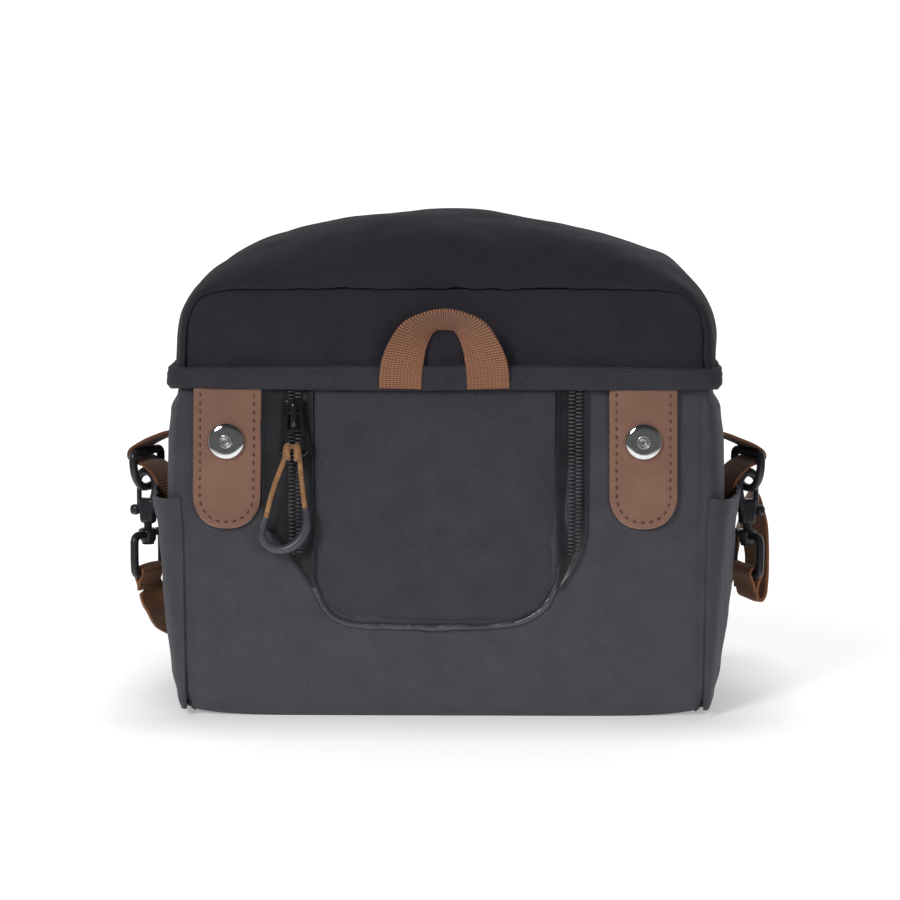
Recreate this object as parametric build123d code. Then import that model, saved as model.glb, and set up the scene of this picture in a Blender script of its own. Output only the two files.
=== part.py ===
from build123d import *
import math
import os

# Soft pannier bag with a domed lid, a front zip pocket, two leather closing tabs, a shoulder strap on snap
# hooks and a rack mounting on its back. +Z is up, the front faces -Y, +X is the right side seen from the
# front, and the origin is the middle of the base, at floor height. Millimetres.

# Driving dimensions.
HALF_WIDTH = 130.0
HALF_DEPTH = 72.0
CORNER = 12.0
WALL = 3.0
BASE_THICKNESS = 3.7
RIM_Z = 184.0
BACK_TOP_Z = 202.0

LID_WALL = 2.5
LID_GROWTH = 3.0
HEM_Z = 158.5
HEM_HEIGHT = 10.0
HEM_PROUD = 1.2
CROWN_Z = 242.0
LID_SEAM_Z = 205.0
LID_SIDE_BACK_Y = 60.0
SHOULDER_Z = 187.0
SHOULDER_X = 110.0
SHOULDER_TOP_Z = 217.0
HINGE_Y = 70.5
HINGE_Z = 204.2

TAB_X = 98.5
TAB_WIDTH = 32.0
TAB_TOP_Z = 157.0
TAB_BOTTOM_Z = 92.0
TAB_OUTER_Y = -76.0
TAB_THICKNESS = 2.4
CAP_Z = 134.0
CAP_RADIUS = 8.7

POCKET_HALF_WIDTH = 57.0
POCKET_BOTTOM_Z = 48.0
POCKET_TOP_Z = 157.0
POCKET_CORNER = 21.0
ZIP_X = 66.3
ZIP_TAPE_WIDTH = 14.0
ZIP_LOW_Z = 68.0
ZIP_TOP_Z = 156.5
COIL_Y = -74.2

HARDWARE_Y = 8.0
HARDWARE_TURN = 25.0
FOLD_X = 151.0
FOLD_Z = 118.5
RING_RADIUS = 12.5
RING_WIRE = 2.0
RING_LEG = 4.0
LIMB_Z = FOLD_Z - RING_LEG - RING_RADIUS
STRAP_WIDTH = 20.0
STRAP_THICKNESS = 1.8

TUBE_X = 62.0
TUBE_Y = 88.5
TUBE_Z = 128.0
TUBE_RADIUS = 8.05
HOOK_WIDTH = 22.0

SIDES = {"left": -1, "right": 1}

# The pocket, its zips and the two closing tabs are sewn a little to the left of the bag's middle.
FRONT_SHIFT = -4.5
FRONT_GROUP = {"front_pocket_panel", "pocket_piping", "zip_slider", "zip_puller", "pull_cord", "pull_grip"}
for side in SIDES:
    FRONT_GROUP |= {side + part for part in ("_zip_tape", "_zip_coil", "_catch_disc", "_tab", "_tab_cap",
                                             "_tab_rivet_ring", "_tab_magnet")}


def save(name, shape):
    if name in FRONT_GROUP:
        shape = shape.moved(Location((FRONT_SHIFT, 0, 0)))
    export_step(shape, "parts/" + name + ".step")


def block(x0, x1, y0, y1, z0, z1):
    size = Box(abs(x1 - x0), abs(y1 - y0), abs(z1 - z0))
    return Pos((x0 + x1) / 2, (y0 + y1) / 2, (z0 + z1) / 2) * size


def plan(offset, z0, z1):
    """Upright prism with the bag's rounded plan, grown by an offset."""
    outline = RectangleRounded(2 * (HALF_WIDTH + offset), 2 * (HALF_DEPTH + offset), CORNER + offset)
    return Pos(0, 0, z0) * extrude(outline, z1 - z0)


def rod_y(x, z, radius, length, y=HARDWARE_Y):
    return Pos(x, y, z) * Rot(90, 0, 0) * Cylinder(radius, length)


def rod_x(x, y, z, radius, length):
    return Pos(x, y, z) * Rot(0, 90, 0) * Cylinder(radius, length)


def rod_z(x, z0, z1, radius, y=HARDWARE_Y):
    return Pos(x, y, (z0 + z1) / 2) * Cylinder(radius, abs(z1 - z0))


# Bag body: five fabric walls round an open compartment, with two stiffener boards inside.

def body_walls():
    ring = plan(0, BASE_THICKNESS + 0.2, BACK_TOP_Z) - plan(-WALL, 0, BACK_TOP_Z + 1)
    seam_x = HALF_WIDTH - CORNER
    save("front_panel", ring & block(-seam_x, seam_x, -HALF_DEPTH - 1, 0, 0, RIM_Z))
    back_x = seam_x - 2
    save("back_panel", ring & block(-back_x, back_x, 0, HALF_DEPTH + 1, 0, BACK_TOP_Z))
    for side, sign in SIDES.items():
        side_half = block(sign * (seam_x + 0.2), sign * (HALF_WIDTH + 1), -100, 100, 0, RIM_Z)
        save(side + "_gusset", ring & side_half)


def base_panel():
    base = plan(0, 0, BASE_THICKNESS)
    return fillet(base.edges().group_by(Axis.Z)[0], 2.5)


def boards():
    base_inset = WALL + 1.5
    save("base_board", plan(-base_inset, BASE_THICKNESS + 0.3, BASE_THICKNESS + 2.3))
    inner_y = HALF_DEPTH - WALL - 0.3
    save("back_board", block(-105, 105, inner_y - 2, inner_y, 9, 192))


def side_pocket(sign):
    """Slip pocket on a gusset, open at the top, with the gusset as its inner wall."""
    inner = HALF_WIDTH + 0.3
    outer = 138.5
    wall = 2.5
    half = 52.0
    low_z = 6.0
    high_z = 107.0
    shell = block(sign * inner, sign * outer, -half, half, low_z, high_z)
    end_y = half - wall
    hollow = block(sign * (inner - 1), sign * (outer - wall), -end_y, end_y, low_z + wall, high_z + 1)
    return shell - hollow


def turned_hardware(sign, shape):
    """The chain of ring, hook and eye, turned about its upright middle line, near end outwards."""
    x = sign * FOLD_X
    return Pos(x, HARDWARE_Y, 0) * Rot(0, 0, sign * HARDWARE_TURN) * Pos(-x, -HARDWARE_Y, 0) * shape


def anchor_tab(sign):
    """Folded webbing, sewn to the gusset at both ends, with the D-ring's bar in its fold."""
    root_x = HALF_WIDTH - 4.0
    fold_r = RING_WIRE + 0.3 + 1.6
    fold_top = (FOLD_X, FOLD_Z + fold_r)
    fold_low = (FOLD_X, FOLD_Z - fold_r)
    outline = make_face(Plane.XZ * Polyline((root_x, 130.5), fold_top, fold_low, (root_x, 109), close=True))
    band = extrude(outline, STRAP_WIDTH / 2, both=True)
    band = Pos(0, HARDWARE_Y, 0) * band
    band += rod_y(FOLD_X, FOLD_Z, fold_r, STRAP_WIDTH)
    band -= rod_y(FOLD_X, FOLD_Z, RING_WIRE + 0.3, STRAP_WIDTH + 2)
    gusset_x = HALF_WIDTH + 0.3
    band = turned_hardware(1, band) & block(gusset_x, gusset_x + 60, -60, 60, 90, 150)
    return band if sign > 0 else mirror(band, Plane.YZ)


# Front zip pocket, its two straight zips, and the piping round its lower edge.

def pocket_panel():
    outline = Rectangle(2 * POCKET_HALF_WIDTH, POCKET_TOP_Z - POCKET_BOTTOM_Z)
    lower = outline.vertices().group_by(Axis.Y)[0]
    outline = fillet(lower, POCKET_CORNER)
    middle_z = (POCKET_TOP_Z + POCKET_BOTTOM_Z) / 2
    front = Plane((0, -HALF_DEPTH - 0.2, middle_z), x_dir=(1, 0, 0), z_dir=(0, -1, 0))
    return extrude(front * outline, 3.6)


def pocket_piping():
    edge_x = POCKET_HALF_WIDTH + 1.9
    edge_z = POCKET_BOTTOM_Z - 1.9
    start_z = ZIP_LOW_Z - 2
    y = -75.6
    corners = [(-edge_x, y, start_z), (-edge_x, y, edge_z), (edge_x, y, edge_z), (edge_x, y, start_z)]
    route = FilletPolyline(*corners, radius=start_z - edge_z - 1)
    section = Plane(route @ 0, z_dir=route % 0) * Circle(1.6)
    return sweep(section, path=route)


def zip_pieces():
    for side, sign in SIDES.items():
        x = sign * ZIP_X
        tape = block(x - ZIP_TAPE_WIDTH / 2, x + ZIP_TAPE_WIDTH / 2, -73.0, -72.2, ZIP_LOW_Z, ZIP_TOP_Z)
        coil = block(x - 2.4, x + 2.4, COIL_Y, -73.2, ZIP_LOW_Z + 2, ZIP_TOP_Z - 1)
        save(side + "_zip_tape", tape)
        save(side + "_zip_coil", coil)


SLIDER_LOW_Z = 138.0
SLIDER_HIGH_Z = 154.0
PULLER_Z = 148.0
PULLER_Y = -79.2


def zip_slider():
    """Slider body over the coil, with a bridge that holds the puller's pin."""
    x = -ZIP_X
    body = block(x - 4.4, x + 4.4, -77.4, COIL_Y - 0.3, SLIDER_LOW_Z, SLIDER_HIGH_Z)
    body = fillet(body.edges().filter_by(Axis.Y), 2.5)
    for z in (PULLER_Z - 4, PULLER_Z + 4):
        body += block(x - 1.2, x + 1.2, -81.6, -77.4, z - 1, z + 1)
    body += block(x - 1.2, x + 1.2, -82.6, -81.4, PULLER_Z - 5, PULLER_Z + 5)
    return body


def zip_puller():
    """Flat puller: a cross bar under the slider's bridge, two legs and a U end for the cord."""
    x = -ZIP_X
    puller = rod_x(x, PULLER_Y, PULLER_Z, 0.9, 7.6)
    for sign in (-1, 1):
        leg_x = x + sign * 3.0
        puller += block(leg_x - 0.9, leg_x + 0.9, PULLER_Y - 0.9, PULLER_Y + 0.9, 130.0, PULLER_Z)
    puller += block(x - 3.9, x + 3.9, PULLER_Y - 0.9, PULLER_Y + 0.9, 128.2, 130.6)
    return puller


# Route of the puller's cord: up one strand from the grip, through the puller's U end, and down the other.
CORD_DIAMETER = 2.4
CORD_ROUTE = [
    (-79.8, -82.6, 98.0),
    (-77.6, -82.5, 107.0),
    (-74.4, -82.3, 117.0),
    (-70.6, -82.2, 126.0),
    (-69.2, -82.6, 131.6),
    (-64.4, -82.6, 132.4),
    (-63.6, -82.2, 126.6),
    (-62.8, -82.3, 117.4),
    (-61.9, -82.5, 108.6),
    (-61.0, -82.6, 102.0),
]


def corner_radii(points):
    radii = []
    for before, corner, after in zip(points, points[1:], points[2:]):
        run_in = Vector(*corner) - Vector(*before)
        run_out = Vector(*after) - Vector(*corner)
        turn = math.radians(run_in.get_angle(run_out))
        radii.append(0.45 * min(run_in.length, run_out.length) / math.tan(turn / 2))
    return radii


def pull_cord():
    radii = corner_radii(CORD_ROUTE)
    print("cord radii", [round(r, 1) for r in radii])
    route = FilletPolyline(*CORD_ROUTE, radius=radii)
    tube = sweep(Plane(route @ 0, z_dir=route % 0) * Circle(CORD_DIAMETER / 2), path=route)
    expected = math.pi * (CORD_DIAMETER / 2) ** 2 * route.length
    print("cord length", round(route.length, 1), "volume share", round(tube.volume / expected, 3))
    return tube


def pull_grip():
    """U-shaped rubber grip; the cord's two ends are moulded into its tips."""
    left_tip = Vector(*CORD_ROUTE[0])
    right_tip = Vector(*CORD_ROUTE[-1])
    path = FilletPolyline(left_tip, (-80.6, -82.6, 83.6), (-61.2, -82.6, 83.6), right_tip, radius=9.0)
    return sweep(Plane(path @ 0, z_dir=path % 0) * Circle(2.1), path=path)


# Lid: a domed shell, open at the bottom and at the back, cut into the panels that it is sewn from.

def lid_form(inset, z0):
    side_x = HALF_WIDTH + LID_GROWTH - inset
    top_x = SHOULDER_X - inset
    top_z = SHOULDER_TOP_Z - inset
    bend_x = side_x - 7.5
    bend_z = SHOULDER_Z + 18 - inset
    across = Polyline((-side_x, SHOULDER_Z), (-side_x, z0), (side_x, z0), (side_x, SHOULDER_Z))
    right = ThreePointArc((side_x, SHOULDER_Z), (bend_x, bend_z), (top_x, top_z))
    crown = ThreePointArc((top_x, top_z), (0, CROWN_Z - inset), (-top_x, top_z))
    left = ThreePointArc((-top_x, top_z), (-bend_x, bend_z), (-side_x, SHOULDER_Z))
    wide = extrude(make_face(Plane.XZ * (across + right + crown + left)), 100, both=True)
    half = HALF_DEPTH + LID_GROWTH - inset
    walls = Polyline((-half, LID_SEAM_Z - inset), (-half, z0), (half, z0), (half, LID_SEAM_Z - inset))
    dome = ThreePointArc((half, LID_SEAM_Z - inset), (0, CROWN_Z - inset), (-half, LID_SEAM_Z - inset))
    deep = extrude(make_face(Plane.YZ * (walls + dome)), 150, both=True)
    return wide & deep & plan(LID_GROWTH - inset, z0, CROWN_Z + 5)


def lid_pieces():
    outer = lid_form(0, HEM_Z)
    inner = lid_form(LID_WALL, HEM_Z - 5)
    shell = outer - inner
    shell -= block(-160, 160, LID_SIDE_BACK_Y, 100, 0, HINGE_Z - 0.8)
    shell -= block(-160, 160, HINGE_Y + 1.5, 100, 0, 300)
    seam = LID_SEAM_Z
    save("lid_top_panel", shell & block(-160, 160, -100, 100, seam + 0.1, 300))
    side_x = HALF_WIDTH - CORNER
    save("lid_front_panel", shell & block(-side_x, side_x, -100, -60, HEM_Z, seam))
    for side, sign in SIDES.items():
        wall = shell & block(sign * (side_x + 0.1), sign * 160, -100, LID_SIDE_BACK_Y, HEM_Z, seam)
        save("lid_" + side + "_panel", wall)
    band = plan(LID_GROWTH + HEM_PROUD, HEM_Z, HEM_Z + HEM_HEIGHT) - plan(LID_GROWTH + 0.05, 0, 300)
    save("hem_binding", band - block(-160, 160, LID_SIDE_BACK_Y, 100, 0, 300))


def pull_loop():
    """Arch of ribbed webbing, its two legs sewn over the hem."""
    outer = 30.5
    inner = 10.5
    top = 36.0
    face_y = -HALF_DEPTH - LID_GROWTH - HEM_PROUD - 0.2
    outline = Pos(0, top / 2) * Rectangle(2 * outer, top)
    outline -= Pos(0, (top - 12) / 2 - 1) * Rectangle(2 * inner, top - 10)
    outline = fillet(outline.vertices().group_by(Axis.Y)[-1], 16)
    front = Plane((0, face_y, HEM_Z), x_dir=(1, 0, 0), z_dir=(0, -1, 0))
    return extrude(front * outline, 3.0)


# Leather closing tabs: each hangs from under the hem and holds a capped rivet with a magnet behind it.

def closing_tab(sign):
    radius = TAB_WIDTH / 2
    x = sign * TAB_X
    inner_y = TAB_OUTER_Y + TAB_THICKNESS
    strap = block(x - radius, x + radius, TAB_OUTER_Y, inner_y, TAB_BOTTOM_Z + radius, TAB_TOP_Z)
    strap += rod_y(x, TAB_BOTTOM_Z + radius, radius, TAB_THICKNESS, y=(TAB_OUTER_Y + inner_y) / 2)
    strap += rod_x(x, TAB_OUTER_Y + TAB_THICKNESS / 2, TAB_TOP_Z, TAB_THICKNESS / 2, TAB_WIDTH)
    return strap - rod_y(x, CAP_Z, 8.0, 2.0, y=inner_y)


def turned(x, z, outline):
    """Round piece with its axis along Y; the outline is radius against height out from the tab's face."""
    face = make_face(Polyline(*outline, close=True))
    solid = revolve(face, Axis.Y)
    return Pos(x, TAB_OUTER_Y, z) * Rot(180, 0, 0) * solid


def tab_hardware():
    for side, sign in SIDES.items():
        x = sign * TAB_X
        dome = [(0, 0), (CAP_RADIUS, 0), (CAP_RADIUS, 0.8), (7.4, 2.0), (5.4, 2.9), (3.4, 3.3), (0, 3.3)]
        save(side + "_tab", closing_tab(sign))
        save(side + "_tab_cap", turned(x, CAP_Z, dome))
        rolled = [(1.4, 3.3), (3.2, 3.3), (3.2, 4.4), (1.4, 4.4)]
        save(side + "_tab_rivet_ring", turned(x, CAP_Z, rolled))
        magnet_y = TAB_OUTER_Y + TAB_THICKNESS
        save(side + "_tab_magnet", rod_y(x, CAP_Z, 7.9, 0.9, y=magnet_y - 0.45))
        save(side + "_catch_disc", rod_y(x, CAP_Z, 8.0, 0.9, y=-HALF_DEPTH - 0.5))


# Side hardware: D-ring in the folded tab, snap hook on the ring, swivel eye below it, the strap's sewn end.

def d_ring(x):
    half_bar = RING_RADIUS
    ring = rod_y(x, FOLD_Z, RING_WIRE, 2 * half_bar)
    centre_z = FOLD_Z - RING_LEG
    for sign in (-1, 1):
        y = HARDWARE_Y + sign * half_bar
        ring += rod_z(x, centre_z, FOLD_Z, RING_WIRE, y=y)
        ring += Pos(x, y, FOLD_Z) * Sphere(RING_WIRE)
    bow = Pos(x, HARDWARE_Y, centre_z) * Rot(0, 90, 0) * Torus(RING_RADIUS, RING_WIRE)
    bow &= block(x - 20, x + 20, HARDWARE_Y - 30, HARDWARE_Y + 30, centre_z - 30, centre_z)
    return ring + bow


GATE_OFFSET = 4.9
GATE_RADIUS = 1.3
EYE_WIRE = 2.0


def snap_hook(x, sign):
    """Hook round the ring's bow, open on its outer side, with a guide for the gate and a stem below."""
    half_thick = 2.3
    near_y = HARDWARE_Y - half_thick
    far_y = HARDWARE_Y + half_thick
    outer = 6.8
    inner = 3.0
    drop = 5.5
    z = LIMB_Z
    hook = rod_y(x, z, outer, 2 * half_thick) + rod_y(x, z - drop, outer, 2 * half_thick)
    hook += block(x - outer, x + outer, near_y, far_y, z - drop, z)
    hook -= rod_y(x, z, inner, 10) + rod_y(x, z - drop, inner, 10)
    hook -= block(x - inner, x + inner, HARDWARE_Y - 5, HARDWARE_Y + 5, z - drop, z)
    hook -= block(x + sign * 1.5, x + sign * 9, HARDWARE_Y - 5, HARDWARE_Y + 5, z - 7.0, z - 1.0)
    shank = block(x - sign * 4.2, x + sign * 3.2, near_y, far_y, z - 20.5, z - 10)
    guide = block(x + sign * 3.0, x + sign * 7.2, near_y, far_y, z - 12.0, z - 8.5)
    hook += shank + guide
    gate_x = x + sign * GATE_OFFSET
    hook -= rod_z(gate_x, z - 16.0, z - 1.0, GATE_RADIUS + 0.06)
    hook += rod_z(x, z - 29.0, z - 20.0, EYE_WIRE)
    hook += rod_z(x, z - 30.2, z - 28.7, 3.1)
    return hook


def snap_gate(x, sign):
    """Sprung bolt beside the shank, with a round thumb knob."""
    gate_x = x + sign * GATE_OFFSET
    z = LIMB_Z
    bolt = rod_z(gate_x, z - 14.4, z - 1.3, GATE_RADIUS)
    knob = rod_y(gate_x + sign * 2.6, z - 15.2, 2.8, 3.4)
    return bolt + knob


def swivel_eye(x):
    """Collar that turns on the hook's stem, and a four-sided eye for the strap."""
    z = LIMB_Z
    top = z - 26.0
    low = z - 44.0
    half = STRAP_WIDTH / 2 + 2.6
    eye = rod_y(x, top, EYE_WIRE, 2 * half) + rod_y(x, low, EYE_WIRE, 2 * half)
    for sign in (-1, 1):
        y = HARDWARE_Y + sign * half
        eye += rod_z(x, low, top, EYE_WIRE, y=y)
        eye += Pos(x, y, top) * Sphere(EYE_WIRE) + Pos(x, y, low) * Sphere(EYE_WIRE)
    eye += rod_z(x, z - 28.4, z - 20.8, 3.8)
    return eye - rod_z(x, z - 32.0, z - 18.0, EYE_WIRE + 0.06)


EYE_BAR_Z = LIMB_Z - 44.0
STRAP_END_Z = EYE_BAR_Z - 17.0


def strap_end(x):
    """Webbing folded round the eye's lower bar and sewn to itself."""
    fold = EYE_WIRE + 0.2 + STRAP_THICKNESS
    end = rod_y(x, EYE_BAR_Z, fold, STRAP_WIDTH)
    near_y = HARDWARE_Y - STRAP_WIDTH / 2
    far_y = HARDWARE_Y + STRAP_WIDTH / 2
    end += block(x - STRAP_THICKNESS, x + STRAP_THICKNESS, near_y, far_y, STRAP_END_Z, EYE_BAR_Z)
    return end - rod_y(x, EYE_BAR_Z, EYE_WIRE + 0.2, STRAP_WIDTH + 4)


# Shoulder strap: webbing from each eye down round the back corners, and a run on edge behind the bag.

BACK_RUN_Y = 101.0
BACK_RUN_HALF = 112.0
RUN_Z = 12.0


def ribbon(points, thickness, height):
    """Webbing on edge through plan points (x, y, mid height)."""
    run = None
    for start, end in zip(points, points[1:]):
        line = Vector(*end) - Vector(*start)
        middle = (Vector(*end) + Vector(*start)) * 0.5
        side = Vector(line.Y, -line.X, 0).normalized()
        frame = Plane(origin=middle, x_dir=line.normalized(), z_dir=side)
        piece = frame * Box(line.length + thickness, height, thickness)
        run = piece if run is None else run + piece
    return run


def strap_runs():
    last = (BACK_RUN_HALF + 2.8, BACK_RUN_Y - 1, RUN_Z)
    left = [(154, 22, 40), (152, 48, 30), (144, 78, 19), (127, 95, 13.5), last]
    right = [(156, 24, 52), (158, 36, 70), (156, 50, 84), (151, 66, 74), (143, 83, 34), (128, 95, 14), last]
    save("strap_left_run", ribbon([(-x, y, z) for x, y, z in left], 2.0, STRAP_WIDTH))
    save("strap_right_run", ribbon(right, 2.0, STRAP_WIDTH))
    low_z = RUN_Z - STRAP_WIDTH / 2
    high_z = RUN_Z + STRAP_WIDTH / 2
    back_run = block(-BACK_RUN_HALF, BACK_RUN_HALF, BACK_RUN_Y - 1, BACK_RUN_Y + 1, low_z, high_z)
    save("strap_back_run", back_run)


ADJUSTER_X = 60.0


def strap_adjuster():
    """Three-bar slide round the webbing."""
    half = 9.0
    slot = 1.3
    face = slot + 1.6
    outer = block(ADJUSTER_X - half, ADJUSTER_X + half, BACK_RUN_Y - face, BACK_RUN_Y + face, 0.1, 24.4)
    return outer - block(ADJUSTER_X - 20, ADJUSTER_X + 20, BACK_RUN_Y - slot, BACK_RUN_Y + slot, 1.6, 22.6)


# Rack mounting on the back: a rail with two hooks over a 16 mm tube, sprung latches, and a lower anchor.

RAIL_Y = HALF_DEPTH + 0.3
RAIL_THICKNESS = 3.0
PLATE_THICKNESS = 4.0
LATCH_Y = 84.5
LATCH_Z = 112.0


def rail():
    bar = block(-92, 92, RAIL_Y, RAIL_Y + RAIL_THICKNESS, 118, 144)
    bar = fillet(bar.edges().filter_by(Axis.Y), 6)
    for x in (-84, 84):
        bar -= rod_y(x, 131, 2.2, 20, y=RAIL_Y)
    return bar


def rail_screws():
    screws = []
    for x in (-84, 84):
        shank = rod_y(x, 131, 2.0, 6.0, y=RAIL_Y + 0.1)
        head = rod_y(x, 131, 4.2, 1.8, y=RAIL_Y + RAIL_THICKNESS + 1.0)
        screws.append(shank + head)
    return Compound(children=screws)


def rack_hook(x):
    """Hook over a rack tube, open downwards, with ears and a fixed pin for its latch."""
    half = HOOK_WIDTH / 2
    back_y = RAIL_Y + RAIL_THICKNESS + 0.1
    plate = block(x - half, x + half, back_y, back_y + PLATE_THICKNESS, 106, 146)
    outer = TUBE_RADIUS + 3.4
    hook = plate + rod_x(x, TUBE_Y, TUBE_Z, outer, HOOK_WIDTH)
    hook += block(x - half, x + half, back_y, TUBE_Y, TUBE_Z, TUBE_Z + outer)
    hook -= block(x - 20, x + 20, back_y + PLATE_THICKNESS, TUBE_Y + 30, TUBE_Z - 30, TUBE_Z - 2.5)
    hook -= rod_x(x, TUBE_Y, TUBE_Z, TUBE_RADIUS, 60)
    for sign in (-1, 1):
        ear_x = x + sign * (half - 1.5)
        ear = block(ear_x - 1.5, ear_x + 1.5, back_y, LATCH_Y, LATCH_Z - 4, LATCH_Z + 3.2)
        hook += ear + rod_x(ear_x, LATCH_Y, LATCH_Z, 3.2, 3.0)
    return hook + rod_x(x, LATCH_Y, LATCH_Z, 1.5, HOOK_WIDTH)


def rack_latch(x):
    """Tongue that closes under the tube and drops open on its pin."""
    half = HOOK_WIDTH / 2 - 3.4
    hub = rod_x(x, LATCH_Y, LATCH_Z, 3.3, 2 * half)
    tongue = block(x - half, x + half, LATCH_Y, TUBE_Y + 13, LATCH_Z - 1.2, LATCH_Z + 1.8)
    lip = block(x - half, x + half, TUBE_Y + 11, TUBE_Y + 13, LATCH_Z - 6, LATCH_Z + 1.8)
    return hub + tongue + lip - rod_x(x, LATCH_Y, LATCH_Z, 1.56, 40)


def anchor_plate():
    plate = block(-16, 16, RAIL_Y, RAIL_Y + RAIL_THICKNESS, 34, 66)
    plate = fillet(plate.edges().filter_by(Axis.Y), 5)
    plate += rod_y(0, 50, 3.0, 5.6, y=RAIL_Y + RAIL_THICKNESS + 2.6)
    return plate + rod_y(0, 50, 5.0, 1.4, y=RAIL_Y + RAIL_THICKNESS + 6.0)


def anchor_hook():
    """Turning hook behind the pin's head, for a rack leg."""
    low_y = RAIL_Y + RAIL_THICKNESS + 0.4
    high_y = low_y + 4.4
    hook = rod_y(0, 50, 9.0, 4.4, y=(low_y + high_y) / 2)
    hook += block(-6, 6, low_y, high_y, 24, 50)
    hook += block(-6, 6, low_y, high_y + 12, 22, 26)
    hook += block(-6, 6, high_y + 9, high_y + 12, 22, 38)
    return hook - rod_y(0, 50, 3.06, 30, y=low_y)


def main():
    os.makedirs("parts", exist_ok=True)
    body_walls()
    save("base_panel", base_panel())
    boards()
    save("front_pocket_panel", pocket_panel())
    save("pocket_piping", pocket_piping())
    zip_pieces()
    save("zip_slider", zip_slider())
    save("zip_puller", zip_puller())
    save("pull_cord", pull_cord())
    save("pull_grip", pull_grip())
    lid_pieces()
    save("pull_loop", pull_loop())
    tab_hardware()
    for side, sign in SIDES.items():
        x = sign * FOLD_X
        save(side + "_side_pocket", side_pocket(sign))
        save(side + "_anchor_tab", anchor_tab(sign))
        save(side + "_d_ring", turned_hardware(sign, d_ring(x)))
        save(side + "_hook", turned_hardware(sign, snap_hook(x, sign)))
        save(side + "_gate", turned_hardware(sign, snap_gate(x, sign)))
        save(side + "_swivel_eye", turned_hardware(sign, swivel_eye(x)))
        save("strap_" + side + "_end", turned_hardware(sign, strap_end(x)))
        save(side + "_rack_hook", rack_hook(sign * TUBE_X))
        save(side + "_rack_latch", rack_latch(sign * TUBE_X))
    strap_runs()
    save("strap_adjuster", strap_adjuster())
    save("rear_rail", rail())
    save("rail_screws", rail_screws())
    save("lower_anchor_plate", anchor_plate())
    save("lower_anchor_hook", anchor_hook())


main()
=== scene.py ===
import math

import bpy
from mathutils import Matrix, Vector, noise


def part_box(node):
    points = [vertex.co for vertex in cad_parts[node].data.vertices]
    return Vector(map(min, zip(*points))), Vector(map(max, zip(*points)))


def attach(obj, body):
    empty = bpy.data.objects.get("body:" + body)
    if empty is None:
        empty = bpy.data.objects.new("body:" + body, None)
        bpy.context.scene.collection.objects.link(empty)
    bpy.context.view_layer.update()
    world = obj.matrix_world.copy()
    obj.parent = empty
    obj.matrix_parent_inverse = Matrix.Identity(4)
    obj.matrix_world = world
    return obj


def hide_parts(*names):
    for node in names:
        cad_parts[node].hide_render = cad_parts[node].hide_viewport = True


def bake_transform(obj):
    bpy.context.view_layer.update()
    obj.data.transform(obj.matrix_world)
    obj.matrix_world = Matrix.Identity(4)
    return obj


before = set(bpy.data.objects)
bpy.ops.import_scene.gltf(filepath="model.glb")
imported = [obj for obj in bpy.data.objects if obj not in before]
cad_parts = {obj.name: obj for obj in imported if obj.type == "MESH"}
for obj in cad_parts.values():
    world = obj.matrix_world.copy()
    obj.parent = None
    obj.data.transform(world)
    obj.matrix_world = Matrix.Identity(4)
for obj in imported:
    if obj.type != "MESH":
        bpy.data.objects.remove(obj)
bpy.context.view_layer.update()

# Camera: a long lens, a little above the bag's middle, looking straight at its front, as for a catalogue.
CAMERA_TURN = math.radians(0.8)
CAMERA_RISE = math.radians(7.0)
CAMERA_DISTANCE = 1.40
CAMERA_LENS = 112.1
CAMERA_AIM = Vector((0.0016, 0.0, 0.1205))

away = Vector((math.sin(CAMERA_TURN) * math.cos(CAMERA_RISE),
               -math.cos(CAMERA_TURN) * math.cos(CAMERA_RISE),
               math.sin(CAMERA_RISE)))
bpy.ops.object.camera_add(location=CAMERA_AIM + away * CAMERA_DISTANCE)
camera = bpy.context.object
camera.name = "camera"
camera.rotation_euler = (-away).to_track_quat("-Z", "Y").to_euler()
camera.data.lens = CAMERA_LENS
camera.data.sensor_width = 36.0
bpy.context.scene.camera = camera
bpy.context.scene.view_settings.view_transform = "Standard"


# Zip pull cord: 2.4 mm round braided cord, looped through the puller's U end, its two ends moulded into the
# rubber grip. It is about 7 cm long, thin and limp, and hangs in front of the zip.
CORD_DIAMETER = 0.0024
CORD_ROUTE = [
    (-0.0843, -0.0826, 0.0980),
    (-0.0821, -0.0825, 0.1070),
    (-0.0789, -0.0823, 0.1170),
    (-0.0751, -0.0822, 0.1260),
    (-0.0737, -0.0826, 0.1316),
    (-0.0689, -0.0826, 0.1324),
    (-0.0681, -0.0822, 0.1266),
    (-0.0673, -0.0823, 0.1174),
    (-0.0664, -0.0825, 0.1086),
    (-0.0655, -0.0826, 0.1020),
]


def node(tree, kind, **inputs):
    """Adds one shader node; sockets are set or linked by name or number, and set_ marks a property."""
    made = tree.nodes.new(kind)
    for name, value in inputs.items():
        if name.startswith("set_"):
            setattr(made, name[4:], value)
            continue
        socket = made.inputs[int(name[1:])] if name[1:].isdigit() else made.inputs[name.replace("_", " ")]
        if isinstance(value, bpy.types.NodeSocket):
            tree.links.new(value, socket)
        else:
            socket.default_value = value
    return made


def new_material(name, roughness, metallic=0.0, specular=0.5, sheen=0.0, coat=0.0):
    """A named material with its plain socket values set; the caller links colour and bump."""
    material = bpy.data.materials.new(name)
    material.use_nodes = True
    tree = material.node_tree
    shader = tree.nodes["Principled BSDF"]
    shader.inputs["Roughness"].default_value = roughness
    shader.inputs["Metallic"].default_value = metallic
    shader.inputs["Specular IOR Level"].default_value = specular
    shader.inputs["Sheen Weight"].default_value = sheen
    shader.inputs["Sheen Roughness"].default_value = 0.45
    shader.inputs["Coat Weight"].default_value = coat
    shader.inputs["Coat Roughness"].default_value = 0.25
    return material, tree, shader


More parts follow.
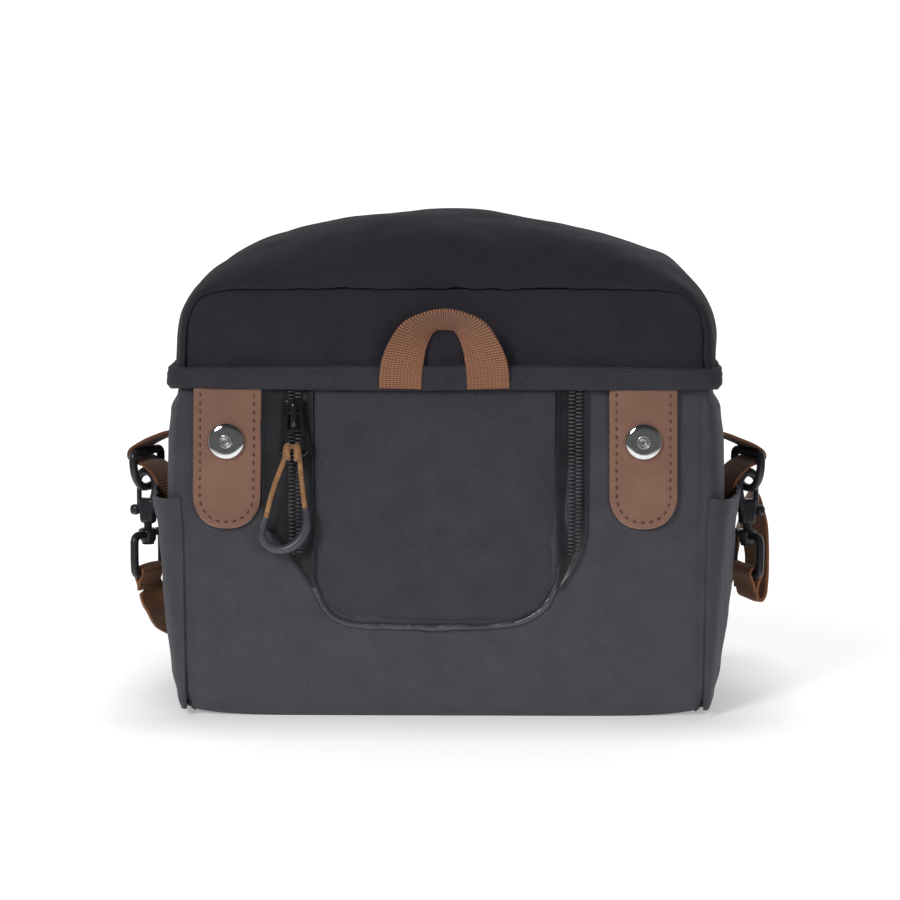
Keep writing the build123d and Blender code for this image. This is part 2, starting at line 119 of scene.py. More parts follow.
def colour_between(tree, shader, factor, dark, light, low=0.3, high=0.7):
    """Colours the shader from dark to light along a grey value."""
    ramp = node(tree, "ShaderNodeValToRGB", Fac=factor)
    ramp.color_ramp.elements[0].position = low
    ramp.color_ramp.elements[0].color = (*dark, 1.0)
    ramp.color_ramp.elements[1].position = high
    ramp.color_ramp.elements[1].color = (*light, 1.0)
    tree.links.new(ramp.outputs["Color"], shader.inputs["Base Color"])


def noise_value(tree, place, scale, detail, on="Object"):
    """Grey noise on the piece's own coordinates."""
    made = node(tree, "ShaderNodeTexNoise", Vector=place.outputs[on], Scale=scale, Detail=detail)
    return made.outputs["Fac"]


def weighted(tree, value, weight, other=0.0):
    """The value times its weight, plus the other value."""
    made = node(tree, "ShaderNodeMath", set_operation="MULTIPLY_ADD", i0=value, i1=weight, i2=other)
    return made.outputs[0]


def bump_onto(tree, shader, height, strength, distance):
    bump = node(tree, "ShaderNodeBump", Height=height, Strength=strength, Distance=distance)
    tree.links.new(bump.outputs["Normal"], shader.inputs["Normal"])


def cord_material():
    """Tan braid: small raised strands, darker in the gaps."""
    material, tree, shader = new_material("tan_braid", 0.7, sheen=0.2)
    place = node(tree, "ShaderNodeTexCoord")
    strands = node(tree, "ShaderNodeTexVoronoi", Vector=place.outputs["Object"], Scale=1300.0)
    tone = weighted(tree, strands.outputs["Distance"], 1.0, noise_value(tree, place, 260.0, 4.0))
    colour_between(tree, shader, tone, (0.56, 0.31, 0.125), (0.26, 0.125, 0.05), 0.5, 1.3)
    bump_onto(tree, shader, strands.outputs["Distance"], 0.5, 0.0003)
    return material


def tube_curve(name, route, radius, swell=()):
    """Smooth curve of round section through the pull of its control points."""
    line = bpy.data.curves.new(name, "CURVE")
    line.dimensions = "3D"
    spline = line.splines.new("NURBS")
    spline.points.add(len(route) - 1)
    for point, place in zip(spline.points, route):
        point.co = (*place, 1.0)
    for point, share in zip(spline.points, swell):
        point.radius = share
    spline.use_endpoint_u = True
    spline.order_u = 3
    spline.resolution_u = 12
    line.bevel_depth = radius
    line.bevel_resolution = 4
    line.use_fill_caps = True
    piece = bpy.data.objects.new(name, line)
    bpy.context.scene.collection.objects.link(piece)
    return piece


tan_braid = cord_material()
pull_cord = tube_curve("pull_cord_braid", CORD_ROUTE, CORD_DIAMETER / 2)
pull_cord.data.materials.append(tan_braid)
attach(pull_cord, "zip_puller")
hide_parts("pull_cord")


# Rubber grip: a soft black U, thicker at the bend, moulded over the cord's ends. The cord's girth hitch on
# the puller shows as two plump turns over the puller's U end.
GRIP_ROUTE = [
    (-0.0843, -0.0826, 0.0985),
    (-0.0858, -0.0826, 0.0950),
    (-0.0866, -0.0828, 0.0895),
    (-0.0836, -0.0830, 0.0845),
    (-0.0778, -0.0830, 0.0826),
    (-0.0718, -0.0830, 0.0842),
    (-0.0668, -0.0828, 0.0890),
    (-0.0644, -0.0826, 0.0955),
    (-0.0654, -0.0826, 0.1028),
]
GRIP_SWELL = (0.72, 0.9, 1.0, 1.0, 1.05, 1.15, 1.2, 1.1, 0.8)
HITCH_TURNS = [
    [(-0.0731, -0.0822, 0.1262), (-0.0738, -0.0846, 0.1272), (-0.0741, -0.0849, 0.1305),
     (-0.0737, -0.0832, 0.1330), (-0.0730, -0.0800, 0.1322)],
    [(-0.0699, -0.0822, 0.1258), (-0.0691, -0.0846, 0.1268), (-0.0689, -0.0849, 0.1300),
     (-0.0692, -0.0832, 0.1328), (-0.0698, -0.0800, 0.1320)],
]


def deselect():
    for one in bpy.context.selected_objects:
        one.select_set(False)


def select_only(*pieces):
    deselect()
    for piece in pieces:
        piece.select_set(True)
    bpy.context.view_layer.objects.active = pieces[0]


def to_mesh(piece):
    select_only(piece)
    bpy.ops.object.convert(target="MESH")
    return bpy.context.object


def join(name, pieces):
    select_only(*pieces)
    if len(pieces) > 1:
        bpy.ops.object.join()
    whole = bpy.context.object
    whole.name = name
    whole.data.name = name
    return whole


def tidy_mesh(piece, merge=0.00005):
    """Merges doubles and turns the faces outwards."""
    select_only(piece)
    bpy.ops.object.mode_set(mode="EDIT")
    bpy.ops.mesh.select_all(action="SELECT")
    bpy.ops.mesh.remove_doubles(threshold=merge)
    bpy.ops.mesh.normals_make_consistent(inside=False)
    bpy.ops.object.mode_set(mode="OBJECT")


def smooth(piece, degrees=60):
    select_only(piece)
    bpy.ops.object.shade_smooth_by_angle(angle=math.radians(degrees))


def finish_piece(piece, material, body, slot, *nodes):
    """Gives a finished mesh its material and its body, and hides the CAD nodes it stands for."""
    piece.data.materials.clear()
    piece.data.materials.append(material)
    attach(piece, body)
    if nodes:
        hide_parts(*nodes)
    return piece


def speckled_material(name, base, light, roughness, grain, relief, **settings):
    """Moulded or coated surface: slight mottling and a fine grain."""
    material, tree, shader = new_material(name, roughness, **settings)
    place = node(tree, "ShaderNodeTexCoord")
    colour_between(tree, shader, noise_value(tree, place, 70.0, 5.0), base, light, 0.35, 0.68)
    bump_onto(tree, shader, noise_value(tree, place, grain, 3.0), relief, 0.0003)
    return material


grip_rubber = speckled_material("grip_rubber", (0.050, 0.049, 0.063), (0.078, 0.076, 0.095), 0.36, 900.0, 0.12)
pull_grip = to_mesh(tube_curve("pull_grip_rubber", GRIP_ROUTE, 0.0020, GRIP_SWELL))
smooth(pull_grip)
finish_piece(pull_grip, grip_rubber, "zip_puller", "grip_rubber", "pull_grip")
turns = [to_mesh(tube_curve("turn", route, 0.0016, (0.6, 1.0, 1.15, 1.0, 0.7))) for route in HITCH_TURNS]
hitch = join("pull_cord_hitch", turns)
smooth(hitch)
finish_piece(hitch, tan_braid, "zip_puller", "tan_cord")


# Bag body: charcoal polyester twill over thin foam, sewn from a front, a back and two side gussets that
# meet in upright seams. It stands up by itself, and its walls bulge a little between the seams.
FRONT_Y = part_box("front_panel")[0].y
RIM_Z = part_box("front_panel")[1].z
BACK_TOP_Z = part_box("back_panel")[1].z - 0.0008
SEAM_X = 0.1225
SEAM_Y = -FRONT_Y - 0.0012
FRONT_SHARE = 0.31
FABRIC_THICKNESS = 0.0022
BASE_THICKNESS = 0.0030
WIDTH_BY_HEIGHT = [(0.0, 0.1252), (0.009, 0.1290), (0.030, 0.1325), (0.070, 0.1350), (0.105, 0.1362),
                   (0.130, 0.1358), (0.146, 0.1342), (0.155, 0.1300), (0.162, 0.1266), (0.184, 0.1256)]
BULGE_BY_HEIGHT = [(0.0, 0.0), (0.03, 0.0014), (0.08, 0.0022), (0.14, 0.0010), (0.16, 0.0), (0.21, 0.0)]


def apply_modifier(piece, kind, **settings):
    """Adds a modifier, sets it and applies it, so the mesh itself holds the shape."""
    select_only(piece)
    modifier = piece.modifiers.new(kind.lower(), kind)
    for name, value in settings.items():
        setattr(modifier, name, value)
    bpy.ops.object.modifier_apply(modifier=modifier.name)


def mapped_grid(name, columns, rows, size, place):
    """A grid primitive whose points are moved to place(u, v), with its UV map in metres of cloth."""
    deselect()
    bpy.ops.mesh.primitive_grid_add(x_subdivisions=columns, y_subdivisions=rows, size=2.0)
    piece = bpy.context.object
    piece.name = name
    piece.data.name = name
    for vertex in piece.data.vertices:
        u = min(max((vertex.co.x + 1) / 2, 0.0), 1.0)
        v = min(max((vertex.co.y + 1) / 2, 0.0), 1.0)
        vertex.co = place(u, v)
    for corner in piece.data.uv_layers[0].data:
        corner.uv = (corner.uv[0] * size[0], corner.uv[1] * size[1])
    return piece


def cloth_piece(name, columns, rows, size, place, thickness, merge=0.00005, face=None, outward=None,
                offset=-1.0):
    """A mapped grid welded at its seams, its faces turned the outward way, and given its thickness."""
    piece = mapped_grid(name, columns, rows, size, place)
    tidy_mesh(piece, merge)
    if outward:
        index = len(piece.data.polygons) // 2 if face is None else face
        if piece.data.polygons[index].normal.dot(Vector(outward)) < 0:
            piece.data.flip_normals()
    apply_modifier(piece, "SOLIDIFY", thickness=thickness, offset=offset)
    smooth(piece)
    return piece


def blend_values(stops, t):
    """Smooth value between (place, value) stops."""
    if t <= stops[0][0]:
        return stops[0][1]
    for (t0, a), (t1, b) in zip(stops, stops[1:]):
        if t <= t1:
            share = (t - t0) / (t1 - t0)
            return a + (b - a) * share * share * (3 - 2 * share)
    return stops[-1][1]


def crumple(point, size, amount, seed=0.0, stretch=1.0):
    """Sway of cloth, from -amount to amount; a stretch over 1 draws it out upwards."""
    place = Vector((point[0] / size + seed, point[1] / size - seed, point[2] / size / stretch))
    return noise.noise(place) * amount


def plan_point(u, z, grow=0.0, widths=WIDTH_BY_HEIGHT, power=2.5):
    """Point of the bag's outline at height z; u runs once round, from the middle of the back."""
    turn = (u % 1.0) * 2.0
    left = turn < 1.0
    along = turn if left else 2.0 - turn
    depth = SEAM_Y + grow
    if along < FRONT_SHARE or along > 1.0 - FRONT_SHARE:
        at_back = along < FRONT_SHARE
        share = along / FRONT_SHARE if at_back else (1.0 - along) / FRONT_SHARE
        x = SEAM_X * share
        y = depth + 0.0012 * (1.0 - share ** 8) + blend_values(BULGE_BY_HEIGHT, z) * (1.0 - share ** 2)
        y = y if at_back else -y
    else:
        share = (along - FRONT_SHARE) / (1.0 - 2 * FRONT_SHARE) * 2.0 - 1.0
        bent = math.sin(share * math.pi / 2)
        y = -bent * depth
        rise = max(0.0, 1.0 - abs(bent) ** power) ** (1.0 / power)
        x = SEAM_X + (blend_values(widths, z) + grow - SEAM_X) * rise
    return Vector((-x if left else x, y, z))


def base_lift(x, y):
    """The base's edge rises towards its four corners."""
    return 0.0055 * min(1.0, abs(x) / 0.126) ** 9 * min(1.0, abs(y) / 0.070) ** 4


def body_point(u, v):
    """Outer wall: a rounded foot, then up to the rim; the back goes on up to the lid's seam."""
    back_share = min(1.0, max(0.0, (math.cos(2 * math.pi * u) - 0.57) / 0.10))
    top = RIM_Z + (BACK_TOP_Z - RIM_Z) * back_share
    z = top * v
    foot = max(0.0, 1.0 - z / 0.008)
    point = plan_point(u, z, grow=-0.0050 * foot ** 2)
    point.z += base_lift(point.x, point.y) * max(0.0, 1.0 - z / 0.05)
    if point.y > 0:
        point.y = min(point.y, 0.0716)
    near_seam = math.exp(-(((abs(point.x) - SEAM_X) / 0.0016) ** 2)) if abs(point.y) > 0.066 else 0.0
    outward = Vector((point.x / 0.13, point.y / 0.072, 0.0)).normalized()
    sway = crumple(point, 0.050, 0.0010, stretch=1.6) + crumple(point, 0.019, 0.0005, 7.3, 1.5)
    calm = min(1.0, max(0.0, (0.158 - point.z) / 0.03)) * min(1.0, point.z / 0.02)
    calm *= 0.35 if point.y > 0.069 else 1.0
    return point + outward * (sway * calm - 0.0011 * near_seam)


def foot_point(u, v):
    """Base: from the foot of the walls in to the middle."""
    rim = body_point(u, 0.0)
    return Vector((rim.x * v, rim.y * v, rim.z * v ** 6 + 0.0001))


def twill_material(name, dark, light, relief=0.22, sheen=0.12):
    """Twill: fine diagonal ribs on the cloth's own UV map, soft mottling and a little fuzz."""
    material, tree, shader = new_material(name, 0.85, specular=0.22, sheen=sheen)
    shader.inputs["Sheen Tint"].default_value = (0.75, 0.78, 0.9, 1.0)
    place = node(tree, "ShaderNodeTexCoord")
    turned = node(tree, "ShaderNodeMapping", Vector=place.outputs["UV"], Rotation=(0, 0, math.radians(52)))
    ribs = node(tree, "ShaderNodeTexWave", Vector=turned.outputs[0], Scale=400.0, Distortion=0.8, Detail=1.0)
    weave = weighted(tree, ribs.outputs["Fac"], 0.6, noise_value(tree, place, 1400.0, 3.0, "UV"))
    patches = weighted(tree, noise_value(tree, place, 70.0, 5.0), 0.35)
    colour_between(tree, shader, weighted(tree, weave, 0.7, patches), dark, light, 0.40, 1.07)
    bump_onto(tree, shader, weave, relief, 0.0004)
    return material


body_twill = twill_material("charcoal_twill", (0.032, 0.0306, 0.0365), (0.083, 0.0810, 0.0930))
body_shell = cloth_piece("body_shell", 440, 104, (0.78, 0.19), body_point, FABRIC_THICKNESS)
finish_piece(body_shell, body_twill, "bag_body", "body_fabric",
             "front_panel", "back_panel", "left_gusset", "right_gusset")
base_sheet = cloth_piece("base_sheet", 220, 24, (0.78, 0.07), foot_point, BASE_THICKNESS, merge=0.0002)
finish_piece(base_sheet, body_twill, "bag_body", "body_fabric", "base_panel")


# Side pockets: one layer of the same twill over each gusset, sewn in with the gusset's two upright seams and
# along the base. The open top edge is turned in and stitched, and stands a little away from the gusset.
POCKET_WIDTHS = [(0.0, 0.1258), (0.008, 0.1302), (0.020, 0.1335), (0.047, 0.1368), (0.065, 0.1382),
                 (0.084, 0.1398), (0.104, 0.1420)]
POCKET_TOP_Z = 0.1035
POCKET_FOOT_Z = 0.004
POCKET_THICKNESS = 0.0016


def side_pocket_point(side):
    middle = 0.25 if side < 0 else 0.75
    half = (1.0 - 2 * FRONT_SHARE) / 4 * 0.965

    def place(u, v):
        from_front = (u - 0.5) * 2
        z = POCKET_FOOT_Z + (POCKET_TOP_Z + 0.003 * abs(from_front) ** 3 - POCKET_FOOT_Z) * v
        point = plan_point(middle + from_front * half, z, widths=POCKET_WIDTHS, power=2.2)
        fold = crumple(point, 0.020, 0.0022, 3.1 * side, 5.0) + crumple(point, 0.009, 0.0007, side, 3.0)
        hem = 0.0007 * math.exp(-(((1.0 - v) / 0.09) ** 4))
        point.x += side * (0.0007 + hem + fold * min(1.0, v * 2) * (1.0 - abs(from_front) ** 4))
        return point
    return place


stitch_thread = speckled_material("dark_thread", (0.020, 0.020, 0.024), (0.050, 0.048, 0.056), 0.7, 2600.0,
                                  0.3)


def low_oval(segments=6, rings=4):
    """Corners and faces of a small rounded bead, one unit across, from a sphere primitive."""
    deselect()
    bpy.ops.mesh.primitive_uv_sphere_add(segments=segments, ring_count=rings, radius=0.5)
    bead = bpy.context.object
    corners = [vertex.co.copy() for vertex in bead.data.vertices]
    faces = [tuple(face.vertices) for face in bead.data.polygons]
    bpy.data.objects.remove(bead)
    return corners, faces


def repeated(name, corners, faces, turns):
    """One mesh of many copies of a small shape, each with its own 4 x 4 place."""
    points = [turn @ corner for turn in turns for corner in corners]
    step = len(corners)
    polygons = [tuple(index + step * k for index in face) for k in range(len(turns)) for face in faces]
    mesh = bpy.data.meshes.new(name)
    mesh.from_pydata(points, [], polygons)
    piece = bpy.data.objects.new(name, mesh)
    bpy.context.scene.collection.objects.link(piece)
    smooth(piece, 80)
    return piece


def stitch_row(name, route, pitch, length, thickness, outward):
    """A row of lockstitches along the route, pressed into the surface."""
    turns = []
    place = 0.0
    for start, end in zip(route, route[1:]):
        run = (end - start).length
        along = (end - start).normalized()
        out = Vector(outward((start + end) / 2)).normalized()
        across = out.cross(along).normalized()
        size = Matrix((across * thickness, out * thickness * 0.7, along * length)).transposed().to_4x4()
        while place < run:
            turns.append(Matrix.Translation(start + along * place) @ size)
            place += pitch
        place -= run
    corners, faces = low_oval()
    return repeated(name, corners, faces, turns)


for side, name in ((-1, "left"), (1, "right")):
    place = side_pocket_point(side)
    side_pocket = cloth_piece(name + "_pocket_cloth", 90, 56, (0.155, 0.10), place, POCKET_THICKNESS,
                              face=2500, outward=(side, 0, 0), offset=1.0)
    finish_piece(side_pocket, body_twill, "bag_body", "body_fabric", name + "_side_pocket")
    route = [place(0.02 + 0.96 * k / 60, 0.90) + Vector((side * POCKET_THICKNESS, 0, 0)) for k in range(61)]
    stitching = stitch_row(name + "_pocket_stitching", route, 0.0032, 0.0024, 0.0007,
                           lambda point: (point.x / 0.13, point.y / 0.20, 0.0))
    finish_piece(stitching, stitch_thread, "bag_body", "body_fabric")


# Lid: near-black twill over soft foam. A flat front wall with rounded top corners is sewn to one long strip
# that makes both sides and the domed top; the strip stands up in a soft roll beside the seam.
LID_FRONT_Y = -0.0738
LID_BACK_Y = 0.0700
LID_SIDE_BACK_Y = 0.0600
LID_LOW_Z = 0.1592
LID_SEAM_Z = 0.2058
LID_CORNER = 0.0165
LID_HALF = 0.1220
EDGE_LINE = [
    (-0.1220, 0.1592, -0.1306, 0.1592), (-0.1223, 0.1740, -0.1306, 0.1720), (-0.1215, 0.1870, -0.1294, 0.1850),
    (-0.1188, 0.1968, -0.1262, 0.1955), (-0.1125, 0.2030, -0.1195, 0.2065), (-0.1030, 0.2052, -0.1098, 0.2152),
    (-0.0900, 0.2057, -0.0950, 0.2236), (-0.0720, 0.2060, -0.0800, 0.2292), (-0.0480, 0.2062, -0.0600, 0.2345),
    (-0.0240, 0.2062, -0.0350, 0.2389), (0.0000, 0.2062, -0.0010, 0.2404), (0.0240, 0.2061, 0.0300, 0.2376),
    (0.0480, 0.2060, 0.0600, 0.2330), (0.0720, 0.2058, 0.0800, 0.2284), (0.0900, 0.2055, 0.0960, 0.2226),
    (0.1030, 0.2050, 0.1096, 0.2168), (0.1130, 0.2028, 0.1190, 0.2085), (0.1195, 0.1968, 0.1262, 0.1975),
    (0.1222, 0.1870, 0.1302, 0.1860), (0.1226, 0.1740, 0.1308, 0.1720), (0.1222, 0.1592, 0.1306, 0.1592),
]


def through(points, t):
    """Point of a smooth curve that passes through every point, t from 0 to 1."""
    spans = len(points) - 1
    at = min(max(t, 0.0), 1.0) * spans
    k = min(int(at), spans - 1)
    s = at - k
    p0, p1 = points[max(k - 1, 0)], points[k]
    p2, p3 = points[k + 1], points[min(k + 2, spans)]
    return [0.5 * (2 * b + (c - a) * s + (2 * a - 5 * b + 4 * c - d) * s * s
                   + (3 * b - a - 3 * c + d) * s ** 3)
            for a, b, c, d in zip(p0, p1, p2, p3)]


def lid_strip_point(u, v):
    """Side and top strip: from the front seam over the dome to the back edge."""
    front_x, front_z, high_x, high_z = through(EDGE_LINE, u)
    on_top = min(1.0, max(0.0, (front_z - 0.196) / 0.008))
    back_y = LID_SIDE_BACK_Y + (LID_BACK_Y - LID_SIDE_BACK_Y) * on_top
    power = 2.5 - 0.35 * on_top
    spread = 0.5 - 0.5 * math.cos(math.pi * v)
    reach = abs(2 * spread - 1)
    rise = max(0.0, 1.0 - reach ** power) ** (1.0 / power)
    if v > 0.5:
        rise = max(rise, 0.55 * (1.0 - on_top))
    back_drop = 0.0018 * on_top * max(0.0, 2 * v - 1) ** 6
    y = LID_FRONT_Y + (back_y - LID_FRONT_Y) * spread
    x = front_x + (high_x - front_x) * rise
    z = front_z + (high_z - front_z) * rise - back_drop
    outward = Vector((x / 0.13 * (1 - on_top) + 0.2 * on_top * x / 0.13, 0.0, on_top)).normalized()
    free = min(1.0, min(v, 1 - v) * 9) * min(1.0, min(u, 1 - u) * 12)
    sway = crumple((x, y, z), 0.042, 0.0016, 2.2) + crumple((x, y, z), 0.016, 0.0006, 9.1)
    pucker = crumple((x, 0, z), 0.0085, 0.0010, 5.0) * math.exp(-((v / 0.10) ** 2))
    return Vector((x, y, z)) + outward * (sway * free + pucker)


def front_half_width(z):
    low = LID_SEAM_Z - LID_CORNER
    if z < low:
        return LID_HALF
    return LID_HALF - LID_CORNER + math.sqrt(max(0.0, LID_CORNER ** 2 - (z - low) ** 2))


def lid_front_point(u, v):
    from_low = math.sin(v * math.pi / 2) * 0.55 + v * 0.45
    z = LID_LOW_Z + (LID_SEAM_Z - LID_LOW_Z) * from_low
    across = (u - 0.5) * 2
    half = front_half_width(z)
    edge = min((1.0 - abs(across)) * half, LID_SEAM_Z - z)
    roll = 0.0022 * math.exp(-edge / 0.0035)
    point = Vector((across * half, LID_FRONT_Y, z))
    sway = crumple(point, 0.040, 0.0012, 4.0) + crumple(point, 0.014, 0.0005, 1.0)
    point.y += roll - 0.0012 * min(1.0, edge / 0.02) + sway * min(1.0, edge / 0.02)
    return point


lid_twill = twill_material("black_twill", (0.0098, 0.0090, 0.0115), (0.0375, 0.0345, 0.0425), sheen=0.06)
lid_strip = cloth_piece("lid_strip", 300, 92, (0.44, 0.16), lid_strip_point, FABRIC_THICKNESS,
                        outward=(0, 0, 1))
finish_piece(lid_strip, lid_twill, "lid", "lid_fabric", "lid_top_panel", "lid_left_panel", "lid_right_panel")
lid_front = cloth_piece("lid_front", 210, 52, (0.244, 0.047), lid_front_point, FABRIC_THICKNESS,
                        face=3000, outward=(0, -1, 0))
finish_piece(lid_front, lid_twill, "lid", "lid_fabric", "lid_front_panel")


# Lid hinge: a folded strip of the lid's twill, sewn to the back panel's top edge and the lid's rear edge. It
# has no pin: the fold itself turns, carried by the bag at one side and by the lid at the other.
HINGE_LINE = [(0.0722, 0.1975), (0.0725, 0.2010), (0.0722, 0.2034), (0.0710, 0.2050), (0.0688, 0.2060)]
HINGE_HALF = 0.1025


def hinge_point(u, v):
    x = HINGE_HALF * (2 * u - 1)
    y, z = through(HINGE_LINE, v)
    return Vector((x, y, z - 0.0014 * (x / HINGE_HALF) ** 4))


hinge_strip = mapped_grid("hinge_strip", 80, 16, (2 * HINGE_HALF, 0.010), hinge_point)
apply_modifier(hinge_strip, "SOLIDIFY", thickness=0.0008, offset=0.0)
smooth(hinge_strip)
hinge_strip.data.materials.append(lid_twill)
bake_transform(hinge_strip)


# Hem: the lid's lower edge, bound with a folded strip of the body's twill that is stitched through. It runs
# round the front and both sides, a little gathered, and curls outwards at the two front corners.
def mirrored(half):
    """A symmetrical line from its left half; a point on the middle line is not doubled."""
    return half + [(-point[0], *point[1:]) for point in reversed(half) if point[0]]


HEM_LINE = mirrored([
    (-0.1300, 0.0600), (-0.1306, 0.0360), (-0.1310, 0.0080), (-0.1309, -0.0220), (-0.1300, -0.0470),
    (-0.1280, -0.0630), (-0.1236, -0.0730), (-0.1120, -0.0760), (-0.0900, -0.0764), (-0.0600, -0.0766),
    (-0.0300, -0.0767), (0.0, -0.0768),
])


def hem_frame(v):
    here = Vector(through(HEM_LINE, v))
    ahead = Vector(through(HEM_LINE, min(v + 0.002, 1.0))) - Vector(through(HEM_LINE, max(v - 0.002, 0.0)))
    out = Vector((ahead.y, -ahead.x)).normalized()
    return here, out


def hem_point(u, v):
    here, out = hem_frame(v)
    corner = math.exp(-(((here.y + 0.064) / 0.010) ** 2))
    half_height = 0.0056 - 0.0011 * min(1.0, abs(here.x) / 0.12) ** 3 + 0.0009 * corner
    half_thick = 0.0017 + 0.0011 * corner
    turn = 2 * math.pi * u
    side = math.copysign(abs(math.cos(turn)) ** 0.55, math.cos(turn))
    rise = math.copysign(abs(math.sin(turn)) ** 0.80, math.sin(turn))
    middle_z = 0.1640 - 0.0010 * corner + 0.0006 * noise.noise(Vector((here.x / 0.06, here.y / 0.06, 3.0)))
    point = Vector((here.x, here.y, middle_z + half_height * rise))
    gather = crumple(point, 0.0075, 0.00055, 2.0, 3.0) + crumple(point, 0.030, 0.0008, 6.0, 2.0)
    push = half_thick * side + gather * (1.0 if side > 0 else 0.2) + 0.0010 * corner
    fluted = 0.0004 * math.cos((rise - 0.55) * 9.0) * max(0.0, side)
    return point + Vector((out.x, out.y, 0.0)) * (push - fluted)


hem = mapped_grid("hem_band", 22, 760, (0.024, 0.53), hem_point)
tidy_mesh(hem, 0.00012)
select_only(hem)
bpy.ops.object.mode_set(mode="EDIT")
bpy.ops.mesh.select_all(action="DESELECT")
bpy.ops.mesh.select_non_manifold()
bpy.ops.mesh.edge_face_add()
bpy.ops.mesh.select_all(action="SELECT")
bpy.ops.mesh.normals_make_consistent(inside=False)
bpy.ops.object.mode_set(mode="OBJECT")
smooth(hem, 70)
hem_twill = twill_material("hem_twill", (0.0186, 0.0177, 0.0215), (0.0550, 0.0525, 0.0610), sheen=0.08)
finish_piece(hem, hem_twill, "lid", "lid_fabric", "hem_binding")
route = []
for k in range(301):
    here, out = hem_frame(k / 300)
    route.append(Vector((here.x, here.y, 0.1664)) + Vector((out.x, out.y, 0)) * 0.0019)
hem_stitching = stitch_row("hem_stitching", route, 0.0033, 0.0024, 0.0006,
                           lambda point: (point.x / 0.13, point.y / 0.10, 0.0))
finish_piece(hem_stitching, stitch_thread, "lid", "lid_fabric")


# Pull loop: 20 mm ribbed webbing in rust brown. Both ends are sewn to the hem's inside and come out under it;
# the arch leans forwards and turns over at the top, where its underside shows.
LOOP_LINE = mirrored([
    (-0.0207, -0.0792, 0.1592), (-0.0205, -0.0795, 0.1650), (-0.0197, -0.0799, 0.1715),
    (-0.0174, -0.0808, 0.1794), (-0.0134, -0.0820, 0.1868), (-0.0070, -0.0829, 0.1914), (0.0, -0.0832, 0.1924),
])
LOOP_ACROSS = mirrored([
    (1.0, 0.0, 0.0), (1.0, 0.05, -0.02), (0.97, 0.20, -0.08), (0.86, 0.48, -0.18), (0.62, 0.68, -0.38),
    (0.22, 0.85, -0.48), (0.0, 0.85, -0.52),
])
WEBBING_WIDTH = 0.0200


def line_length(line):
    return sum((Vector(b) - Vector(a)).length for a, b in zip(line, line[1:]))


def webbing_strip(name, line, across, width, thickness, rows, sway=0.0003):
    """Flat webbing along a smooth line, each place with its own width direction."""
    def place(u, v):
        middle = Vector(through(line, v))
        wide = Vector(through(across, v)).normalized()
        ahead = Vector(through(line, min(v + 0.01, 1.0))) - Vector(through(line, max(v - 0.01, 0.0)))
        ahead.normalize()
        wide = (wide - ahead * wide.dot(ahead)).normalized()
        out = wide.cross(ahead).normalized()
        cup = 0.0004 * (2 * u - 1) ** 2
        return middle + wide * (u - 0.5) * width + out * (cup + crumple(middle, 0.012, sway, u))
    strip = mapped_grid(name, 12, rows, (width, line_length(line)), place)
    apply_modifier(strip, "SOLIDIFY", thickness=thickness, offset=0.0)
    apply_modifier(strip, "BEVEL", width=thickness * 0.3, segments=2, limit_method="ANGLE",
                   angle_limit=math.radians(50))
    smooth(strip, 50)
    return strip


def webbing_material(name, dark, light, ribs=205.0, relief=0.7):
    """Ribbed webbing: ribs across the strap's length, cut into short floats, darker at their edges."""
    material, tree, shader = new_material(name, 0.8, specular=0.25, sheen=0.25)
    place = node(tree, "ShaderNodeTexCoord")
    along = node(tree, "ShaderNodeTexWave", set_bands_direction="Y", Vector=place.outputs["UV"], Scale=ribs,
                 Distortion=0.6, Detail=1.0)
    across = node(tree, "ShaderNodeTexWave", set_bands_direction="X", Vector=place.outputs["UV"], Scale=190.0,
                  Distortion=0.5, Detail=1.0)
    floats = weighted(tree, across.outputs["Fac"], 0.35, weighted(tree, along.outputs["Fac"], 0.85))
    tone = weighted(tree, noise_value(tree, place, 900.0, 4.0), 0.5, floats)
    colour_between(tree, shader, tone, dark, light, 0.35, 1.25)
    bump_onto(tree, shader, floats, relief, 0.0004)
    return material


rust_webbing = webbing_material("rust_webbing", (0.095, 0.040, 0.022), (0.360, 0.165, 0.095), 300.0, 0.5)
pull_loop = webbing_strip("pull_loop_webbing", LOOP_LINE, LOOP_ACROSS, WEBBING_WIDTH, 0.0013, 90)
finish_piece(pull_loop, rust_webbing, "lid", "webbing", "pull_loop")


# Closing tabs: two brown leather tongues, each of two layers, sewn all round 3.3 mm in from the edge, with a
# chromed cap and a rolled rivet through it and a magnet behind, which meets a steel disc on the bag's front.
TAB_END_RADIUS = 0.0160
TAB_TOP_Z = 0.1600
TAB_STRAIGHT_SHARE = 0.70
STITCH_INSET = 0.0033


def tab_edge(v, inset=0.0):
    """Half width and height of the tab's outline from its top (v 0) to its round end (v 1)."""
    centre_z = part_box("left_tab")[0].z + TAB_END_RADIUS
    reach = TAB_END_RADIUS - inset
    if v < TAB_STRAIGHT_SHARE:
        return reach, TAB_TOP_Z + (centre_z - TAB_TOP_Z) * v / TAB_STRAIGHT_SHARE
    turn = (v - TAB_STRAIGHT_SHARE) / (1 - TAB_STRAIGHT_SHARE) * math.pi / 2
    return reach * max(0.0, math.cos(turn)) ** 0.86, centre_z - reach * math.sin(turn)


def leather_material():
    """Smooth brown leather: fine pores, soft mottling, a slightly polished face."""
    material, tree, shader = new_material("brown_leather", 0.50, specular=0.4, coat=0.08)
    place = node(tree, "ShaderNodeTexCoord")
    pores = node(tree, "ShaderNodeTexVoronoi", Vector=place.outputs["Object"], Scale=1500.0)
    creases = noise_value(tree, place, 420.0, 5.0)
    tone = weighted(tree, creases, 0.35, noise_value(tree, place, 55.0, 6.0))
    colour_between(tree, shader, tone, (0.192, 0.098, 0.067), (0.250, 0.133, 0.094), 0.35, 0.95)
    bump_onto(tree, shader, weighted(tree, pores.outputs["Distance"], 0.6, creases), 0.18, 0.0003)
    return material


